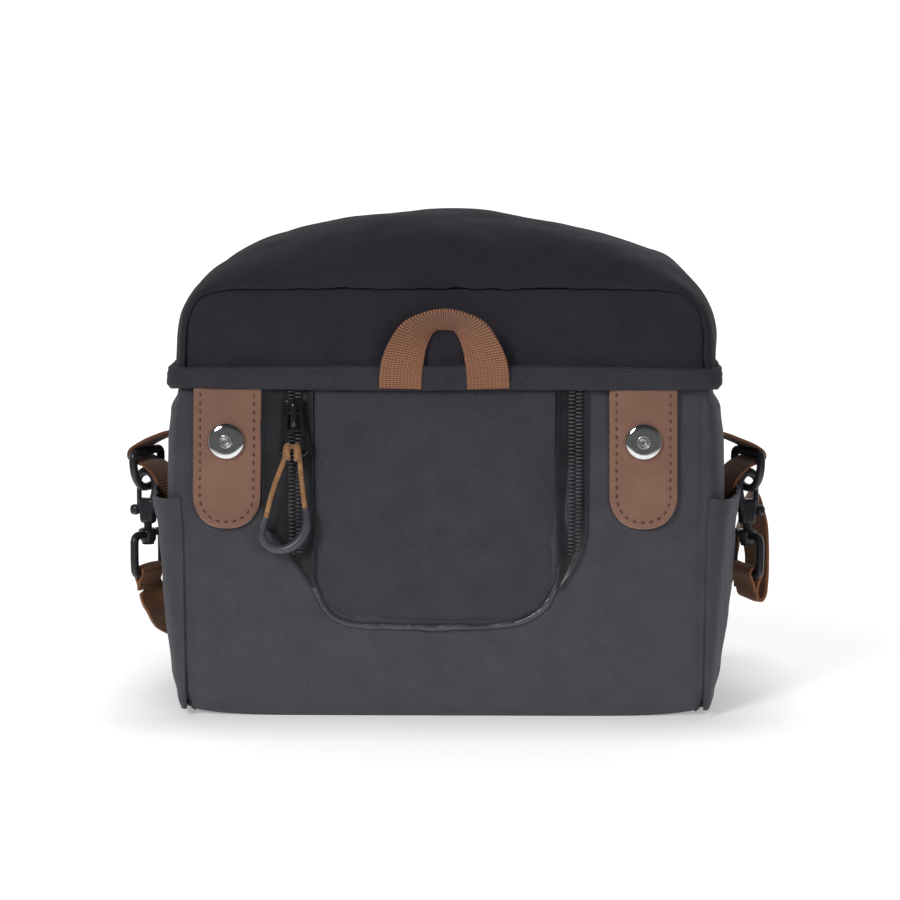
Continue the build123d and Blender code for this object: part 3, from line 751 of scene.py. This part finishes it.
def turned_piece(name, profile, centre, steps=72):
    """Piece turned about an axis towards the viewer: profile of (radius, forward) from rim to middle."""
    fine = [through(profile, k / (len(profile) * 5)) for k in range(len(profile) * 5 + 1)]
    top = len(fine) - 1

    def place(u, v):
        radius, forward = fine[round(v * top)]
        radius = max(radius, 0.0)
        turn = 2 * math.pi * u
        return Vector(centre) + Vector((radius * math.cos(turn), -forward, radius * math.sin(turn)))
    piece = mapped_grid(name, steps, top, (1.0, 1.0), place)
    tidy_mesh(piece, 0.00001)
    smooth(piece, 40)
    return piece


def metal_material(name, colour, light, roughness, grain=500.0):
    """Plated or bare metal: a little clouding and hairline wear."""
    material, tree, shader = new_material(name, roughness, metallic=1.0)
    place = node(tree, "ShaderNodeTexCoord")
    clouds = noise_value(tree, place, grain, 4.0)
    colour_between(tree, shader, clouds, colour, light, 0.3, 0.7)
    bump_onto(tree, shader, clouds, 0.015, 0.0001)
    return material


brown_leather = leather_material()
# Paler edge colour: partly the cut leather edge's own lighter tone, partly a painted highlight along the
# rounded rim.
cut_edge_painted_highlight = speckled_material("leather_cut_edge_painted_highlight", (0.30, 0.165, 0.115), (0.42, 0.25, 0.18), 0.6, 1200.0, 0.25)
brown_thread = speckled_material("brown_thread", (0.075, 0.026, 0.012), (0.150, 0.060, 0.030), 0.7, 2600.0,
                                0.3)
chrome = metal_material("chrome_plate", (0.80, 0.80, 0.81), (0.90, 0.90, 0.91), 0.07)
bare_steel = metal_material("bare_steel", (0.55, 0.55, 0.56), (0.68, 0.68, 0.69), 0.36, 240.0)
CAP_PROFILE = [(0.0084, 0.0000), (0.0087, 0.0002), (0.0088, 0.0007), (0.0086, 0.0014), (0.0081, 0.0020),
               (0.0073, 0.0024), (0.0062, 0.0027), (0.0050, 0.00282), (0.0036, 0.00288), (0.0, 0.00288)]
RING_PROFILE = [(0.0032, 0.0026), (0.0032, 0.0034), (0.0029, 0.0038), (0.0026, 0.0034), (0.0025, 0.0031),
                (0.0018, 0.0031), (0.0017, 0.0035), (0.0014, 0.0038), (0.0011, 0.0035), (0.0010, 0.0031),
                (0.0, 0.00305)]

for side in ("left", "right"):
    box_low, box_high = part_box(side + "_tab")
    tab_x = (box_low.x + box_high.x) / 2
    lean = 0.0006 if side == "left" else -0.0003
    tab_front_y = box_low.y

    def tab_point(u, v):
        half, z = tab_edge(v)
        across = (u - 0.5) * 2
        rolled = 0.0005 * math.exp(-((1 - abs(across)) * half / 0.0014))
        belly = -0.0006 * (1 - across ** 2) * (1 - v) + rolled
        x = tab_x + across * half + lean * (0.5 - v) * 2
        return Vector((x, tab_front_y + 0.0004 + belly + crumple((x, 0, z), 0.02, 0.0004), z))

    leather = mapped_grid(side + "_tab_leather", 40, 72, (0.032, 0.066), tab_point)
    tidy_mesh(leather, 0.00003)
    if leather.data.polygons[500].normal.y > 0:
        leather.data.flip_normals()
    apply_modifier(leather, "SOLIDIFY", thickness=0.0023, offset=-1.0)
    apply_modifier(leather, "BEVEL", width=0.0005, segments=3, limit_method="ANGLE",
                   angle_limit=math.radians(55))
    smooth(leather, 50)
    finish_piece(leather, brown_leather, side + "_tab", "leather", side + "_tab")
    # Every face not turned squarely to the front, the bevel's rounded rim included, takes the paler edge
    # colour: the cut edge's own tone plus a painted highlight on the rim.
    leather.data.materials.append(cut_edge_painted_highlight)
    for face in leather.data.polygons:
        face.material_index = 1 if abs(face.normal.y) < 0.93 else 0

    route = []
    for k in range(121):
        sweep = k / 60 - 1
        half, z = tab_edge(1 - abs(sweep), STITCH_INSET)
        x = tab_x + math.copysign(half, sweep) + lean * (abs(sweep) - 0.5) * 2
        route.append(Vector((x, tab_front_y - 0.0001, z)))
    tab_stitches = stitch_row(side + "_tab_stitches", route, 0.0040, 0.0020, 0.0009,
                              lambda point: (0, -1, 0))
    finish_piece(tab_stitches, brown_thread, side + "_tab", "leather")

    cap_z = (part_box(side + "_tab_cap")[0].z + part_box(side + "_tab_cap")[1].z) / 2
    cap_foot = (tab_x, tab_front_y - 0.0001, cap_z)
    cap = turned_piece(side + "_cap", CAP_PROFILE, cap_foot)
    finish_piece(cap, chrome, side + "_tab", "chrome", side + "_tab_cap")
    rivet = turned_piece(side + "_rivet", RING_PROFILE, cap_foot, 48)
    finish_piece(rivet, bare_steel, side + "_tab", "chrome", side + "_tab_rivet_ring")
    for part in ("_tab_magnet", "_catch_disc"):
        steel_part = bpy.data.objects[side + part]
        steel_part.data.materials.clear()
        steel_part.data.materials.append(bare_steel)


# Front pocket: one padded panel of the body's twill, its two upper sides closed by straight coil zips in wide
# coated tapes, its lower edge finished with a coated piping. Air and foam make the panel stand out a little.
POCKET_LOW, POCKET_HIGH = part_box("front_pocket_panel")
POCKET_X = (POCKET_LOW.x + POCKET_HIGH.x) / 2
POCKET_HALF = (POCKET_HIGH.x - POCKET_LOW.x) / 2
POCKET_CORNER = 0.0225
POCKET_EDGE_Y = -0.0736
POCKET_TOP_EDGE_Z = 0.1635
MOST_PRESSED = 0.0012
PRESSING_FRAMES = 20


def pocket_half_width(z):
    corner_z = POCKET_LOW.z + POCKET_CORNER
    if z > corner_z:
        return POCKET_HALF
    return POCKET_HALF - POCKET_CORNER + math.sqrt(max(0.0, POCKET_CORNER ** 2 - (corner_z - z) ** 2))


def pocket_point(u, v):
    eased = v * 0.35 + 0.65 * (1 - math.cos(v * math.pi / 2))
    z = POCKET_LOW.z + (POCKET_TOP_EDGE_Z - POCKET_LOW.z) * eased
    return Vector((POCKET_X + (u - 0.5) * 2 * pocket_half_width(z), POCKET_EDGE_Y, z))


pocket_panel = mapped_grid("pocket_panel_padded", 84, 80, (0.114, 0.115), pocket_point)
tidy_mesh(pocket_panel, 0.00002)
if pocket_panel.data.polygons[3000].normal.y > 0:
    pocket_panel.data.flip_normals()
rest_shape = [vertex.co.copy() for vertex in pocket_panel.data.vertices]
edge = pocket_panel.vertex_groups.new(name="sewn_edge")
for vertex in pocket_panel.data.vertices:
    inside = pocket_half_width(vertex.co.z) - abs(vertex.co.x - POCKET_X)
    if inside < 0.0006 or vertex.co.z < POCKET_LOW.z + 0.0004 or vertex.co.z > 0.1630:
        edge.add([vertex.index], 1.0, "REPLACE")
select_only(pocket_panel)
cloth = pocket_panel.modifiers.new("stuffing", "CLOTH")
cloth.settings.quality = 6
cloth.settings.mass = 0.25
cloth.settings.tension_stiffness = 12
cloth.settings.compression_stiffness = 12
cloth.settings.bending_stiffness = 1.2
cloth.settings.shrink_min = -0.012
cloth.settings.use_pressure = True
cloth.settings.uniform_pressure_force = 3.0
cloth.settings.vertex_group_mass = "sewn_edge"
cloth.settings.effector_weights.gravity = 0
cloth.point_cache.frame_start = 1
cloth.point_cache.frame_end = PRESSING_FRAMES
for moment in range(1, PRESSING_FRAMES + 1):
    bpy.context.scene.frame_set(moment)
bpy.ops.object.modifier_apply(modifier=cloth.name)
bpy.context.scene.frame_set(1)
pocket_panel.vertex_groups.clear()
for vertex, rest in zip(pocket_panel.data.vertices, rest_shape):
    inside = min(pocket_half_width(rest.z) - abs(rest.x - POCKET_X), rest.z - POCKET_LOW.z)
    crown = 0.0011 * (1 - math.exp(-inside / 0.006)) + 0.0009 * min(1.0, inside / 0.05)
    moved = (vertex.co - rest) * 0.45
    if moved.length > MOST_PRESSED:
        moved = moved.normalized() * MOST_PRESSED
    sway = crumple(rest, 0.034, 0.0008, 3.0) * min(1.0, inside / 0.012)
    calm = 1.0 - 0.8 * min(1.0, max(0.0, (rest.z - 0.150) / 0.008))
    vertex.co = rest + moved * calm + Vector((0, -(crown + sway) * calm, 0))
apply_modifier(pocket_panel, "SOLIDIFY", thickness=0.0014, offset=-1.0)
smooth(pocket_panel)
pocket_twill = twill_material("pocket_twill", (0.0230, 0.0221, 0.0262), (0.0660, 0.0640, 0.0740))
finish_piece(pocket_panel, pocket_twill, "bag_body", "body_fabric", "front_pocket_panel")

coated_trim = speckled_material("coated_trim", (0.040, 0.038, 0.046), (0.066, 0.063, 0.074), 0.30, 380.0,
                                0.25, specular=0.6)
# The zip tapes' coating is coloured near-black, far darker than the piping's, as painted deep shade over the
# tapes.
coated_tape_painted_shade = speckled_material("coated_tape_painted_shade", (0.012, 0.0115, 0.015), (0.022, 0.021, 0.026), 0.40, 380.0,
                                0.25)
PIPING_RADIUS = 0.00135
PIPING_LINE = [
    (-0.0628, 0.0790), (-0.0634, 0.0730), (-0.0626, 0.0660), (-0.0596, 0.0580), (-0.0548, 0.0510),
    (-0.0480, 0.0468), (-0.0400, 0.0455), (-0.0300, 0.0450), (-0.0180, 0.0447), (-0.0045, 0.0445),
    (0.0080, 0.0447), (0.0200, 0.0450), (0.0290, 0.0457), (0.0370, 0.0474), (0.0440, 0.0512),
    (0.0492, 0.0568), (0.0530, 0.0640), (0.0546, 0.0720), (0.0550, 0.0790),
]


def piping_point(u, v):
    x, z = through(PIPING_LINE, v)
    next_x, next_z = through(PIPING_LINE, min(1.0, v + 0.005))
    last_x, last_z = through(PIPING_LINE, max(0.0, v - 0.005))
    ahead = Vector((next_x - last_x, 0, next_z - last_z)).normalized()
    out = Vector((ahead.z, 0, -ahead.x))
    waist = min(1.0, min(v, 1 - v) * 14 + 0.35)
    lumps = crumple((x, 0, z), 0.006, 0.00035, 2.0) + crumple((x, 0, z), 0.0025, 0.0002, 7.0)
    radius = (PIPING_RADIUS + lumps) * waist
    wander = crumple((x, 0, z), 0.011, 0.0007, 4.0)
    turn = 2 * math.pi * u
    middle = Vector((x, -0.0744, z)) + out * wander
    return middle + out * math.cos(turn) * radius * 1.15 - Vector((0, math.sin(turn) * radius, 0))


piping = mapped_grid("pocket_piping_coated", 14, 420, (0.008, 0.15), piping_point)
tidy_mesh(piping, 0.00005)
smooth(piping, 70)
finish_piece(piping, coated_trim, "bag_body", "coated_trim", "pocket_piping")

TAPE_EDGES = {
    "left": [(0.1620, -0.0872, -0.0620), (0.1000, -0.0860, -0.0618), (0.0890, -0.0812, -0.0618),
             (0.0800, -0.0742, -0.0620), (0.0710, -0.0680, -0.0622), (0.0640, -0.0632, -0.0612)],
    "right": [(0.1620, 0.0530, 0.0674), (0.1050, 0.0532, 0.0678), (0.0900, 0.0534, 0.0674),
              (0.0800, 0.0540, 0.0650), (0.0710, 0.0542, 0.0604), (0.0640, 0.0532, 0.0556)],
}
TAPE_THICKNESS = 0.0009
TOOTH_PITCH = 0.0018
TOOTH_Y = -0.0745
TOOTH_ASIDE = 0.0017
TOOTH_SIZE = Vector((0.0036, 0.0018, 0.00115))
coil_nylon = speckled_material("coil_nylon", (0.045, 0.043, 0.050), (0.080, 0.078, 0.088), 0.30, 1500.0, 0.1)
for side in ("left", "right"):
    edges = TAPE_EDGES[side]
    coil_low, coil_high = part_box(side + "_zip_coil")
    coil_x = (coil_low.x + coil_high.x) / 2

    def tape_point(u, v):
        z, inner, outer = through(edges, v)
        x = inner + (outer - inner) * u
        channel = 0.0007 * math.exp(-(((x - coil_x) / 0.0052) ** 4))
        flap = 0.0013 * math.exp(-((min(u, 1 - u) * (outer - inner) / 0.0022) ** 2))
        fold = crumple((x, 0, z), 0.010, 0.0004, 3.0, 3.0)
        proud = 0.0016 * max(0.0, min(1.0, (0.100 - z) / 0.022))
        return Vector((x, -0.0737 + channel - flap - fold - proud, z))
    tape = cloth_piece(side + "_tape_coated", 44, 110, (0.014, 0.10), tape_point, TAPE_THICKNESS,
                       face=2000, outward=(0, -1, 0))
    finish_piece(tape, coated_tape_painted_shade, "bag_body", "coated_trim", side + "_zip_tape")

    corners, faces = low_oval(8, 5)
    for corner in corners:
        corner.x = math.copysign(abs(2 * corner.x) ** 0.6, corner.x) / 2
    size = Matrix.Diagonal((TOOTH_SIZE.x, TOOTH_SIZE.y, TOOTH_SIZE.z, 1.0))
    turns = []
    z = coil_low.z + 0.010
    while z < coil_high.z + 0.002:
        turns.append(Matrix.Translation((coil_x - TOOTH_ASIDE, TOOTH_Y, z)) @ size)
        turns.append(Matrix.Translation((coil_x + TOOTH_ASIDE, TOOTH_Y, z + TOOTH_PITCH / 2)) @ size)
        z += TOOTH_PITCH
    coil = repeated(side + "_coil_teeth", corners, faces, turns)
    finish_piece(coil, coil_nylon, "bag_body", "zip_coil", side + "_zip_coil")


# Zip slider and puller: die-cast and lacquered gloss black. The puller is a flared wire frame under the
# slider's bridge, and the cord is hitched to its lower bar.
SLIDER_LOW, SLIDER_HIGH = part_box("zip_slider")
SLIDER_X = (SLIDER_LOW.x + SLIDER_HIGH.x) / 2
gloss_black = speckled_material("gloss_black_metal", (0.006, 0.006, 0.008), (0.013, 0.013, 0.016), 0.14, 600.0,
                                0.04, coat=0.4)


def rounded_block(name, centre, size, bevel, low_width=1.0):
    """A block primitive, tapered towards its lower end and rounded with a bevel."""
    deselect()
    bpy.ops.mesh.primitive_cube_add(size=1.0)
    piece = bpy.context.object
    piece.name = name
    piece.data.name = name
    for vertex in piece.data.vertices:
        width = low_width if vertex.co.z < 0 else 1.0
        vertex.co = Vector((centre[0] + vertex.co.x * size[0] * width, centre[1] + vertex.co.y * size[1],
                            centre[2] + vertex.co.z * size[2]))
    apply_modifier(piece, "BEVEL", width=bevel, segments=4, limit_method="NONE")
    smooth(piece, 40)
    return piece


middle_z = (SLIDER_LOW.z + SLIDER_HIGH.z) / 2
plate = rounded_block("plate", (SLIDER_X, -0.0760, middle_z), (0.0092, 0.0030, 0.0158), 0.0012, 0.78)
BRIDGE_LINE = [(-0.0768, 0.0066), (-0.0812, 0.0072), (-0.0826, 0.0052), (-0.0824, -0.0030), (-0.0798, -0.0056),
               (-0.0768, -0.0056)]
bridge = to_mesh(tube_curve("bridge", [(SLIDER_X, y, middle_z + z) for y, z in BRIDGE_LINE], 0.0013))
slider = join("slider_gloss", [plate, bridge])
smooth(slider, 45)
finish_piece(slider, gloss_black, "zip_slider", "black_metal", "zip_slider")
PULLER_FRAME = mirrored([(-0.0028, 0.1480), (-0.0032, 0.1450), (-0.0040, 0.1400), (-0.0054, 0.1345),
                         (-0.0062, 0.1305), (-0.0055, 0.1283), (-0.0030, 0.1280)])
frame_wire = to_mesh(tube_curve("frame_wire", [(SLIDER_X + x, -0.0794 if z > 0.14 else -0.0798, z)
                                               for x, z in PULLER_FRAME], 0.00105))
BAR_LINE = mirrored([(-0.0034, 0.1480), (0.0, 0.1482)])
cross_bar = to_mesh(tube_curve("cross_bar", [(SLIDER_X + x, -0.0793, z) for x, z in BAR_LINE], 0.0010))
puller = join("puller_gloss", [frame_wire, cross_bar])
smooth(puller, 60)
finish_piece(puller, gloss_black, "zip_puller", "black_metal", "zip_puller")


# Side hardware: on each gusset a folded webbing tab holds a moulded D-ring; a snap hook hangs on the ring,
# with a swivel eye below it, and the shoulder strap's end is folded round the eye and sewn to itself.
HARDWARE_X = 0.151
HARDWARE_Y = 0.008
HARDWARE_TURN = math.radians(25.0)


def turned_place(side, place):
    """A place beside the right gusset, mirrored for the left one and turned with the hardware."""
    x, y = side * (place[0] - HARDWARE_X), place[1] - HARDWARE_Y
    turn = side * HARDWARE_TURN
    return Vector((side * HARDWARE_X + x * math.cos(turn) - y * math.sin(turn),
                   HARDWARE_Y + x * math.sin(turn) + y * math.cos(turn), place[2]))


def turned_line(side, places):
    """A line in the hardware's own upright plane: places of (outwards, height)."""
    return [tuple(turned_place(side, (x, HARDWARE_Y, z))) for x, z in places]


def repaint(material, *names):
    """Gives CAD nodes their finish."""
    for name in names:
        for material_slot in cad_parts[name].material_slots:
            material_slot.material = material


moulded_black = speckled_material("moulded_black", (0.016, 0.016, 0.020), (0.034, 0.034, 0.041), 0.30, 700.0,
                                  0.10)
dark_webbing = webbing_material("brown_webbing", (0.085, 0.032, 0.015), (0.270, 0.115, 0.052), 330.0, 0.35)
strap_webbing = webbing_material("strap_webbing", (0.120, 0.044, 0.019), (0.360, 0.155, 0.068), 330.0, 0.35)
TAB_FOLD = [(0.1240, 0.1320), (0.1340, 0.1296), (0.1430, 0.1262), (0.1505, 0.1226), (0.1545, 0.1198),
            (0.1550, 0.1164), (0.1510, 0.1144), (0.1455, 0.1122), (0.1390, 0.1060), (0.1350, 0.0960)]
END_FOLD = [(0.1516, 0.0490), (0.1517, 0.0520), (0.1530, 0.0556), (0.1540, 0.0592), (0.1510, 0.0612),
            (0.1480, 0.0592), (0.1490, 0.0556), (0.1503, 0.0520), (0.1504, 0.0490)]
RIGHT_RUN = [(0.1508, 0.0080, 0.0500), (0.1518, 0.0082, 0.0458), (0.1542, 0.0090, 0.0442),
             (0.1562, 0.0105, 0.0470), (0.1572, 0.0150, 0.0560), (0.1575, 0.0250, 0.0720),
             (0.1562, 0.0400, 0.0840), (0.1535, 0.0580, 0.0790), (0.1480, 0.0760, 0.0450),
             (0.1320, 0.0930, 0.0160), (0.1140, 0.1000, 0.0120)]
RIGHT_ACROSS = [(0.42, -0.91, 0.0)] * 3 + [
    (0.42, -0.91, 0.05), (0.44, -0.88, 0.15), (0.50, -0.70, 0.50), (0.35, -0.20, 0.92), (0.20, 0.50, 0.80),
    (0.0, 0.80, 0.55), (0.0, 0.45, 0.88), (0.0, 0.0, 1.0)]
LEFT_RUN = [(-0.1508, 0.0080, 0.0500), (-0.1492, 0.0092, 0.0450), (-0.1464, 0.0120, 0.0402),
            (-0.1434, 0.0190, 0.0350), (-0.1404, 0.0340, 0.0295), (-0.1360, 0.0640, 0.0210),
            (-0.1265, 0.0890, 0.0145), (-0.1140, 0.1000, 0.0120)]
LEFT_ACROSS = [(-0.42, -0.91, 0.0), (-0.48, -0.87, -0.05), (-0.52, -0.78, -0.30), (-0.46, -0.60, -0.65),
               (-0.22, -0.30, -0.92), (0.0, -0.1, -1.0), (0.0, 0.0, -1.0), (0.0, 0.0, -1.0)]
STRAP_THICKNESS = 0.0014
ANCHOR_WIDTH = 0.0215
RING_LOOP = mirrored([(-0.0126, 0.1192), (-0.0132, 0.1135), (-0.0112, 0.1062), (-0.0058, 0.1014),
                      (0.0, 0.1006)]) + [(0.0060, 0.1188), (0.0, 0.1187), (-0.0060, 0.1188)]
EYE_LOOP = mirrored([(-0.0128, 0.0768), (-0.0130, 0.0700), (-0.0130, 0.0640), (-0.0126, 0.0574),
                     (-0.0060, 0.0576), (0.0, 0.0576)]) + [(0.0060, 0.0770), (0.0, 0.0771), (-0.0060, 0.0770)]
HOOK_LINE = [(0.1490, 0.0880), (0.1468, 0.0945), (0.1458, 0.1015), (0.1474, 0.1070), (0.1512, 0.1092),
             (0.1552, 0.1070), (0.1566, 0.1040), (0.1562, 0.1016)]
BOLT_LINE = [(0.1559, 0.0890), (0.1559, 0.0945), (0.1559, 0.1006)]
HOOK_SWELL = (1.2, 1.05, 0.88, 0.9, 1.0, 0.9, 0.8, 0.6)
STEM_PROFILE = [(0.0020, 0.0716), (0.0031, 0.0716), (0.0031, 0.0730), (0.0020, 0.0734), (0.0020, 0.0840)]
COLLAR_PROFILE = [(0.0022, 0.0726), (0.0034, 0.0728), (0.0040, 0.0740), (0.0041, 0.0768), (0.0048, 0.0774),
                  (0.0049, 0.0782), (0.0046, 0.0790), (0.0036, 0.0796), (0.0022, 0.0798)]


def wire_loop(name, side, places, radius):
    """Closed loop of round wire in the upright plane across the hardware: places of (across, height)."""
    route = [tuple(turned_place(side, (HARDWARE_X, HARDWARE_Y + y, z))) for y, z in places]
    loop = tube_curve(name, route, radius)
    loop.data.splines[0].use_endpoint_u = False
    loop.data.splines[0].use_cyclic_u = True
    return loop


def hardware_block(side, centre, size, bevel, low_width):
    """A rounded block beside the right gusset, mirrored for the left one and turned with the hardware."""
    block = rounded_block("block", centre, size, bevel, low_width)
    for vertex in block.data.vertices:
        vertex.co = turned_place(side, vertex.co)
    if side < 0:
        block.data.flip_normals()
    return block


def lathe(side, profile):
    """Piece turned about the hardware's upright middle line: profile of (radius, height)."""
    def place(u, v):
        radius, z = profile[round(v * (len(profile) - 1))]
        turn = 2 * math.pi * u
        x, y = HARDWARE_X + radius * math.cos(turn), HARDWARE_Y + radius * math.sin(turn)
        return turned_place(side, (x, y, z))
    piece = mapped_grid("lathe", 32, len(profile) - 1, (1.0, 1.0), place)
    tidy_mesh(piece, 0.00001)
    return piece


def moulded(body, parts, angle, cad_node):
    """Joins the parts of one black moulding, on the body of that name."""
    piece = join(body + "_moulded", parts)
    smooth(piece, angle)
    finish_piece(piece, moulded_black, body, "black_plastic", cad_node)


for side, name in ((-1, "left"), (1, "right")):
    hub = turned_place(side, (HARDWARE_X, HARDWARE_Y, 0))
    across = [tuple(turned_place(side, (HARDWARE_X, HARDWARE_Y + 1, 0)) - hub)]
    fold = webbing_strip(name + "_anchor_webbing", turned_line(side, TAB_FOLD), across * len(TAB_FOLD),
                         ANCHOR_WIDTH, STRAP_THICKNESS, 60, 0.0005)
    finish_piece(fold, dark_webbing, "bag_body", "webbing", name + "_anchor_tab")
    line_length(TAB_FOLD)
    sewn = webbing_strip("strap_" + name + "_sewn_end", turned_line(side, END_FOLD), across * len(END_FOLD),
                         WEBBING_WIDTH, STRAP_THICKNESS, 44)
    finish_piece(sewn, strap_webbing, name + "_swivel", "webbing", "strap_" + name + "_end")
    line_length(END_FOLD)
    line, widths = (LEFT_RUN, LEFT_ACROSS) if side < 0 else (RIGHT_RUN, RIGHT_ACROSS)
    run = webbing_strip("strap_" + name + "_webbing", line, widths, WEBBING_WIDTH, STRAP_THICKNESS, 130,
                        0.0008)
    run.data.materials.append(strap_webbing)
    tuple(line[-3])
    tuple(line[0])
    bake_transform(run)
    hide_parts("strap_" + name + "_run")
    line_length(line)
    repaint(moulded_black, name + "_rack_hook", name + "_rack_latch")

    ring = to_mesh(wire_loop("ring", side, RING_LOOP, 0.0021))
    moulded(name + "_ring", [ring], 60, name + "_d_ring")
    nose = to_mesh(tube_curve("nose", turned_line(side, HOOK_LINE), 0.0024, HOOK_SWELL))
    shank = hardware_block(side, (0.1508, HARDWARE_Y, 0.0885), (0.0098, 0.0056, 0.0130), 0.0020, 0.80)
    moulded(name + "_hook", [nose, shank, lathe(side, STEM_PROFILE)], 45, name + "_hook")
    bolt = to_mesh(tube_curve("bolt", turned_line(side, BOLT_LINE), 0.0013))
    knob = hardware_block(side, (0.1584, HARDWARE_Y, 0.0886), (0.0052, 0.0046, 0.0054), 0.0021, 1.0)
    moulded(name + "_gate", [bolt, knob], 45, name + "_gate")
    collar = lathe(side, COLLAR_PROFILE)
    eye = to_mesh(wire_loop("eye", side, EYE_LOOP, 0.0021))
    moulded(name + "_swivel", [collar, eye], 50, name + "_swivel_eye")


# Strap behind the bag: the rest of the shoulder strap on its edge, with its three-bar width adjuster.
BACK_LINE = [(-0.1150, 0.1008, 0.0120), (-0.0700, 0.1012, 0.0120), (-0.0200, 0.1010, 0.0118),
             (0.0300, 0.1009, 0.0120), (0.0800, 0.1011, 0.0120), (0.1150, 0.1008, 0.0120)]
back_run = webbing_strip("strap_back_webbing", BACK_LINE, [(0, 0, 1)] * len(BACK_LINE), WEBBING_WIDTH,
                         STRAP_THICKNESS, 150, 0.0004)
finish_piece(back_run, strap_webbing, "bag_body", "webbing", "strap_back_run")
line_length(BACK_LINE)
repaint(moulded_black, "strap_adjuster", "rear_rail", "lower_anchor_plate", "lower_anchor_hook")
repaint(bare_steel, "rail_screws")
board_grey = speckled_material("stiffener_board", (0.030, 0.030, 0.033), (0.055, 0.055, 0.060), 0.75, 300.0,
                               0.2)
repaint(board_grey, "base_board", "back_board")


# Lights, floor and backdrop: a white sweep lit from above and both sides, with a darker room in front.
# The floor's own white eases off beside the bag as a painted contact shadow that deepens the real one, and
# fades out further away.
def area_light(name, place, aim, size, power):
    bpy.ops.object.light_add(type="AREA", location=place)
    light = bpy.context.object
    light.name = name
    light.data.energy = power
    light.data.shape = "RECTANGLE"
    light.data.size = size[0]
    light.data.size_y = size[1]
    light.rotation_euler = (Vector(aim) - Vector(place)).to_track_quat("-Z", "Y").to_euler()
    return light


def ranged(tree, value, start, end):
    """The value taken from one span to another, and held at its ends."""
    made = node(tree, "ShaderNodeMapRange", Value=value, From_Min=start[0], From_Max=start[1], To_Min=end[0],
                To_Max=end[1])
    return made.outputs["Result"]


area_light("key", (-0.85, -1.45, 0.95), (0, 0, 0.10), (0.45, 0.55), 15.0)
area_light("front_fill", (0.9, -1.9, 0.55), (0, 0, 0.08), (1.4, 0.9), 15.0).visible_glossy = False
area_light("floor_light", (0.0, 0.9, 1.9), (0, 0.2, 0.0), (1.6, 1.2), 9.0).visible_glossy = False

deselect()
bpy.ops.mesh.primitive_plane_add(size=14.0, location=(0, 6.3, 0))
bpy.ops.object.transform_apply(location=True)
floor = bpy.context.object
floor.name = "floor"
floor_paint, floor_tree, floor_shader = new_material("white_floor", 0.9, specular=0.1)
floor_shader.inputs["Base Color"].default_value = (0.94, 0.94, 0.94, 1.0)
floor_shader.inputs["Emission Color"].default_value = (1.0, 1.0, 1.0, 1.0)
ground = node(floor_tree, "ShaderNodeTexCoord").outputs["Object"]
reach = node(floor_tree, "ShaderNodeVectorMath", set_operation="LENGTH", i0=ground).outputs["Value"]
sheer = node(floor_tree, "ShaderNodeBsdfTransparent")
faded = node(floor_tree, "ShaderNodeMixShader", i0=ranged(floor_tree, reach, (0.24, 0.42), (0.0, 1.0)),
             i1=floor_shader.outputs[0], i2=sheer.outputs[0])
floor_tree.links.new(faded.outputs[0], floor_tree.nodes["Material Output"].inputs["Surface"])
beside = node(floor_tree, "ShaderNodeVectorMath", set_operation="ABSOLUTE", i0=ground)
past = node(floor_tree, "ShaderNodeVectorMath", set_operation="SUBTRACT", i0=beside.outputs["Vector"],
            i1=(0.124, 0.070, 0.0))
outside = node(floor_tree, "ShaderNodeVectorMath", set_operation="MAXIMUM", i0=past.outputs["Vector"])
gap = node(floor_tree, "ShaderNodeVectorMath", set_operation="LENGTH", i0=outside.outputs["Vector"])
# Emission strength is 0.30 at the bag's footprint and 0.58 from 5.5 cm out: the dimmer floor beside the bag is
# a painted contact shadow.
floor_glow_with_painted_shadow = ranged(floor_tree, gap.outputs["Value"], (0.0, 0.055), (0.30, 0.58))
floor_tree.links.new(floor_glow_with_painted_shadow, floor_shader.inputs["Emission Strength"])
floor.data.materials.append(floor_paint)

world = bpy.data.worlds.new("studio")
world.use_nodes = True
sky = world.node_tree
direction = node(sky, "ShaderNodeTexCoord")
parts = node(sky, "ShaderNodeSeparateXYZ", Vector=direction.outputs["Generated"])
behind = ranged(sky, parts.outputs["Y"], (0.0, 0.9), (0.10, 1.15))
high = ranged(sky, parts.outputs["Z"], (0.10, 0.55), (1.0, 0.30))
glow = node(sky, "ShaderNodeMath", set_operation="MULTIPLY", i0=behind, i1=high)
sky.links.new(glow.outputs[0], sky.nodes["Background"].inputs["Color"])
sky.nodes["Background"].inputs["Strength"].default_value = 1.0
bpy.context.scene.world = world
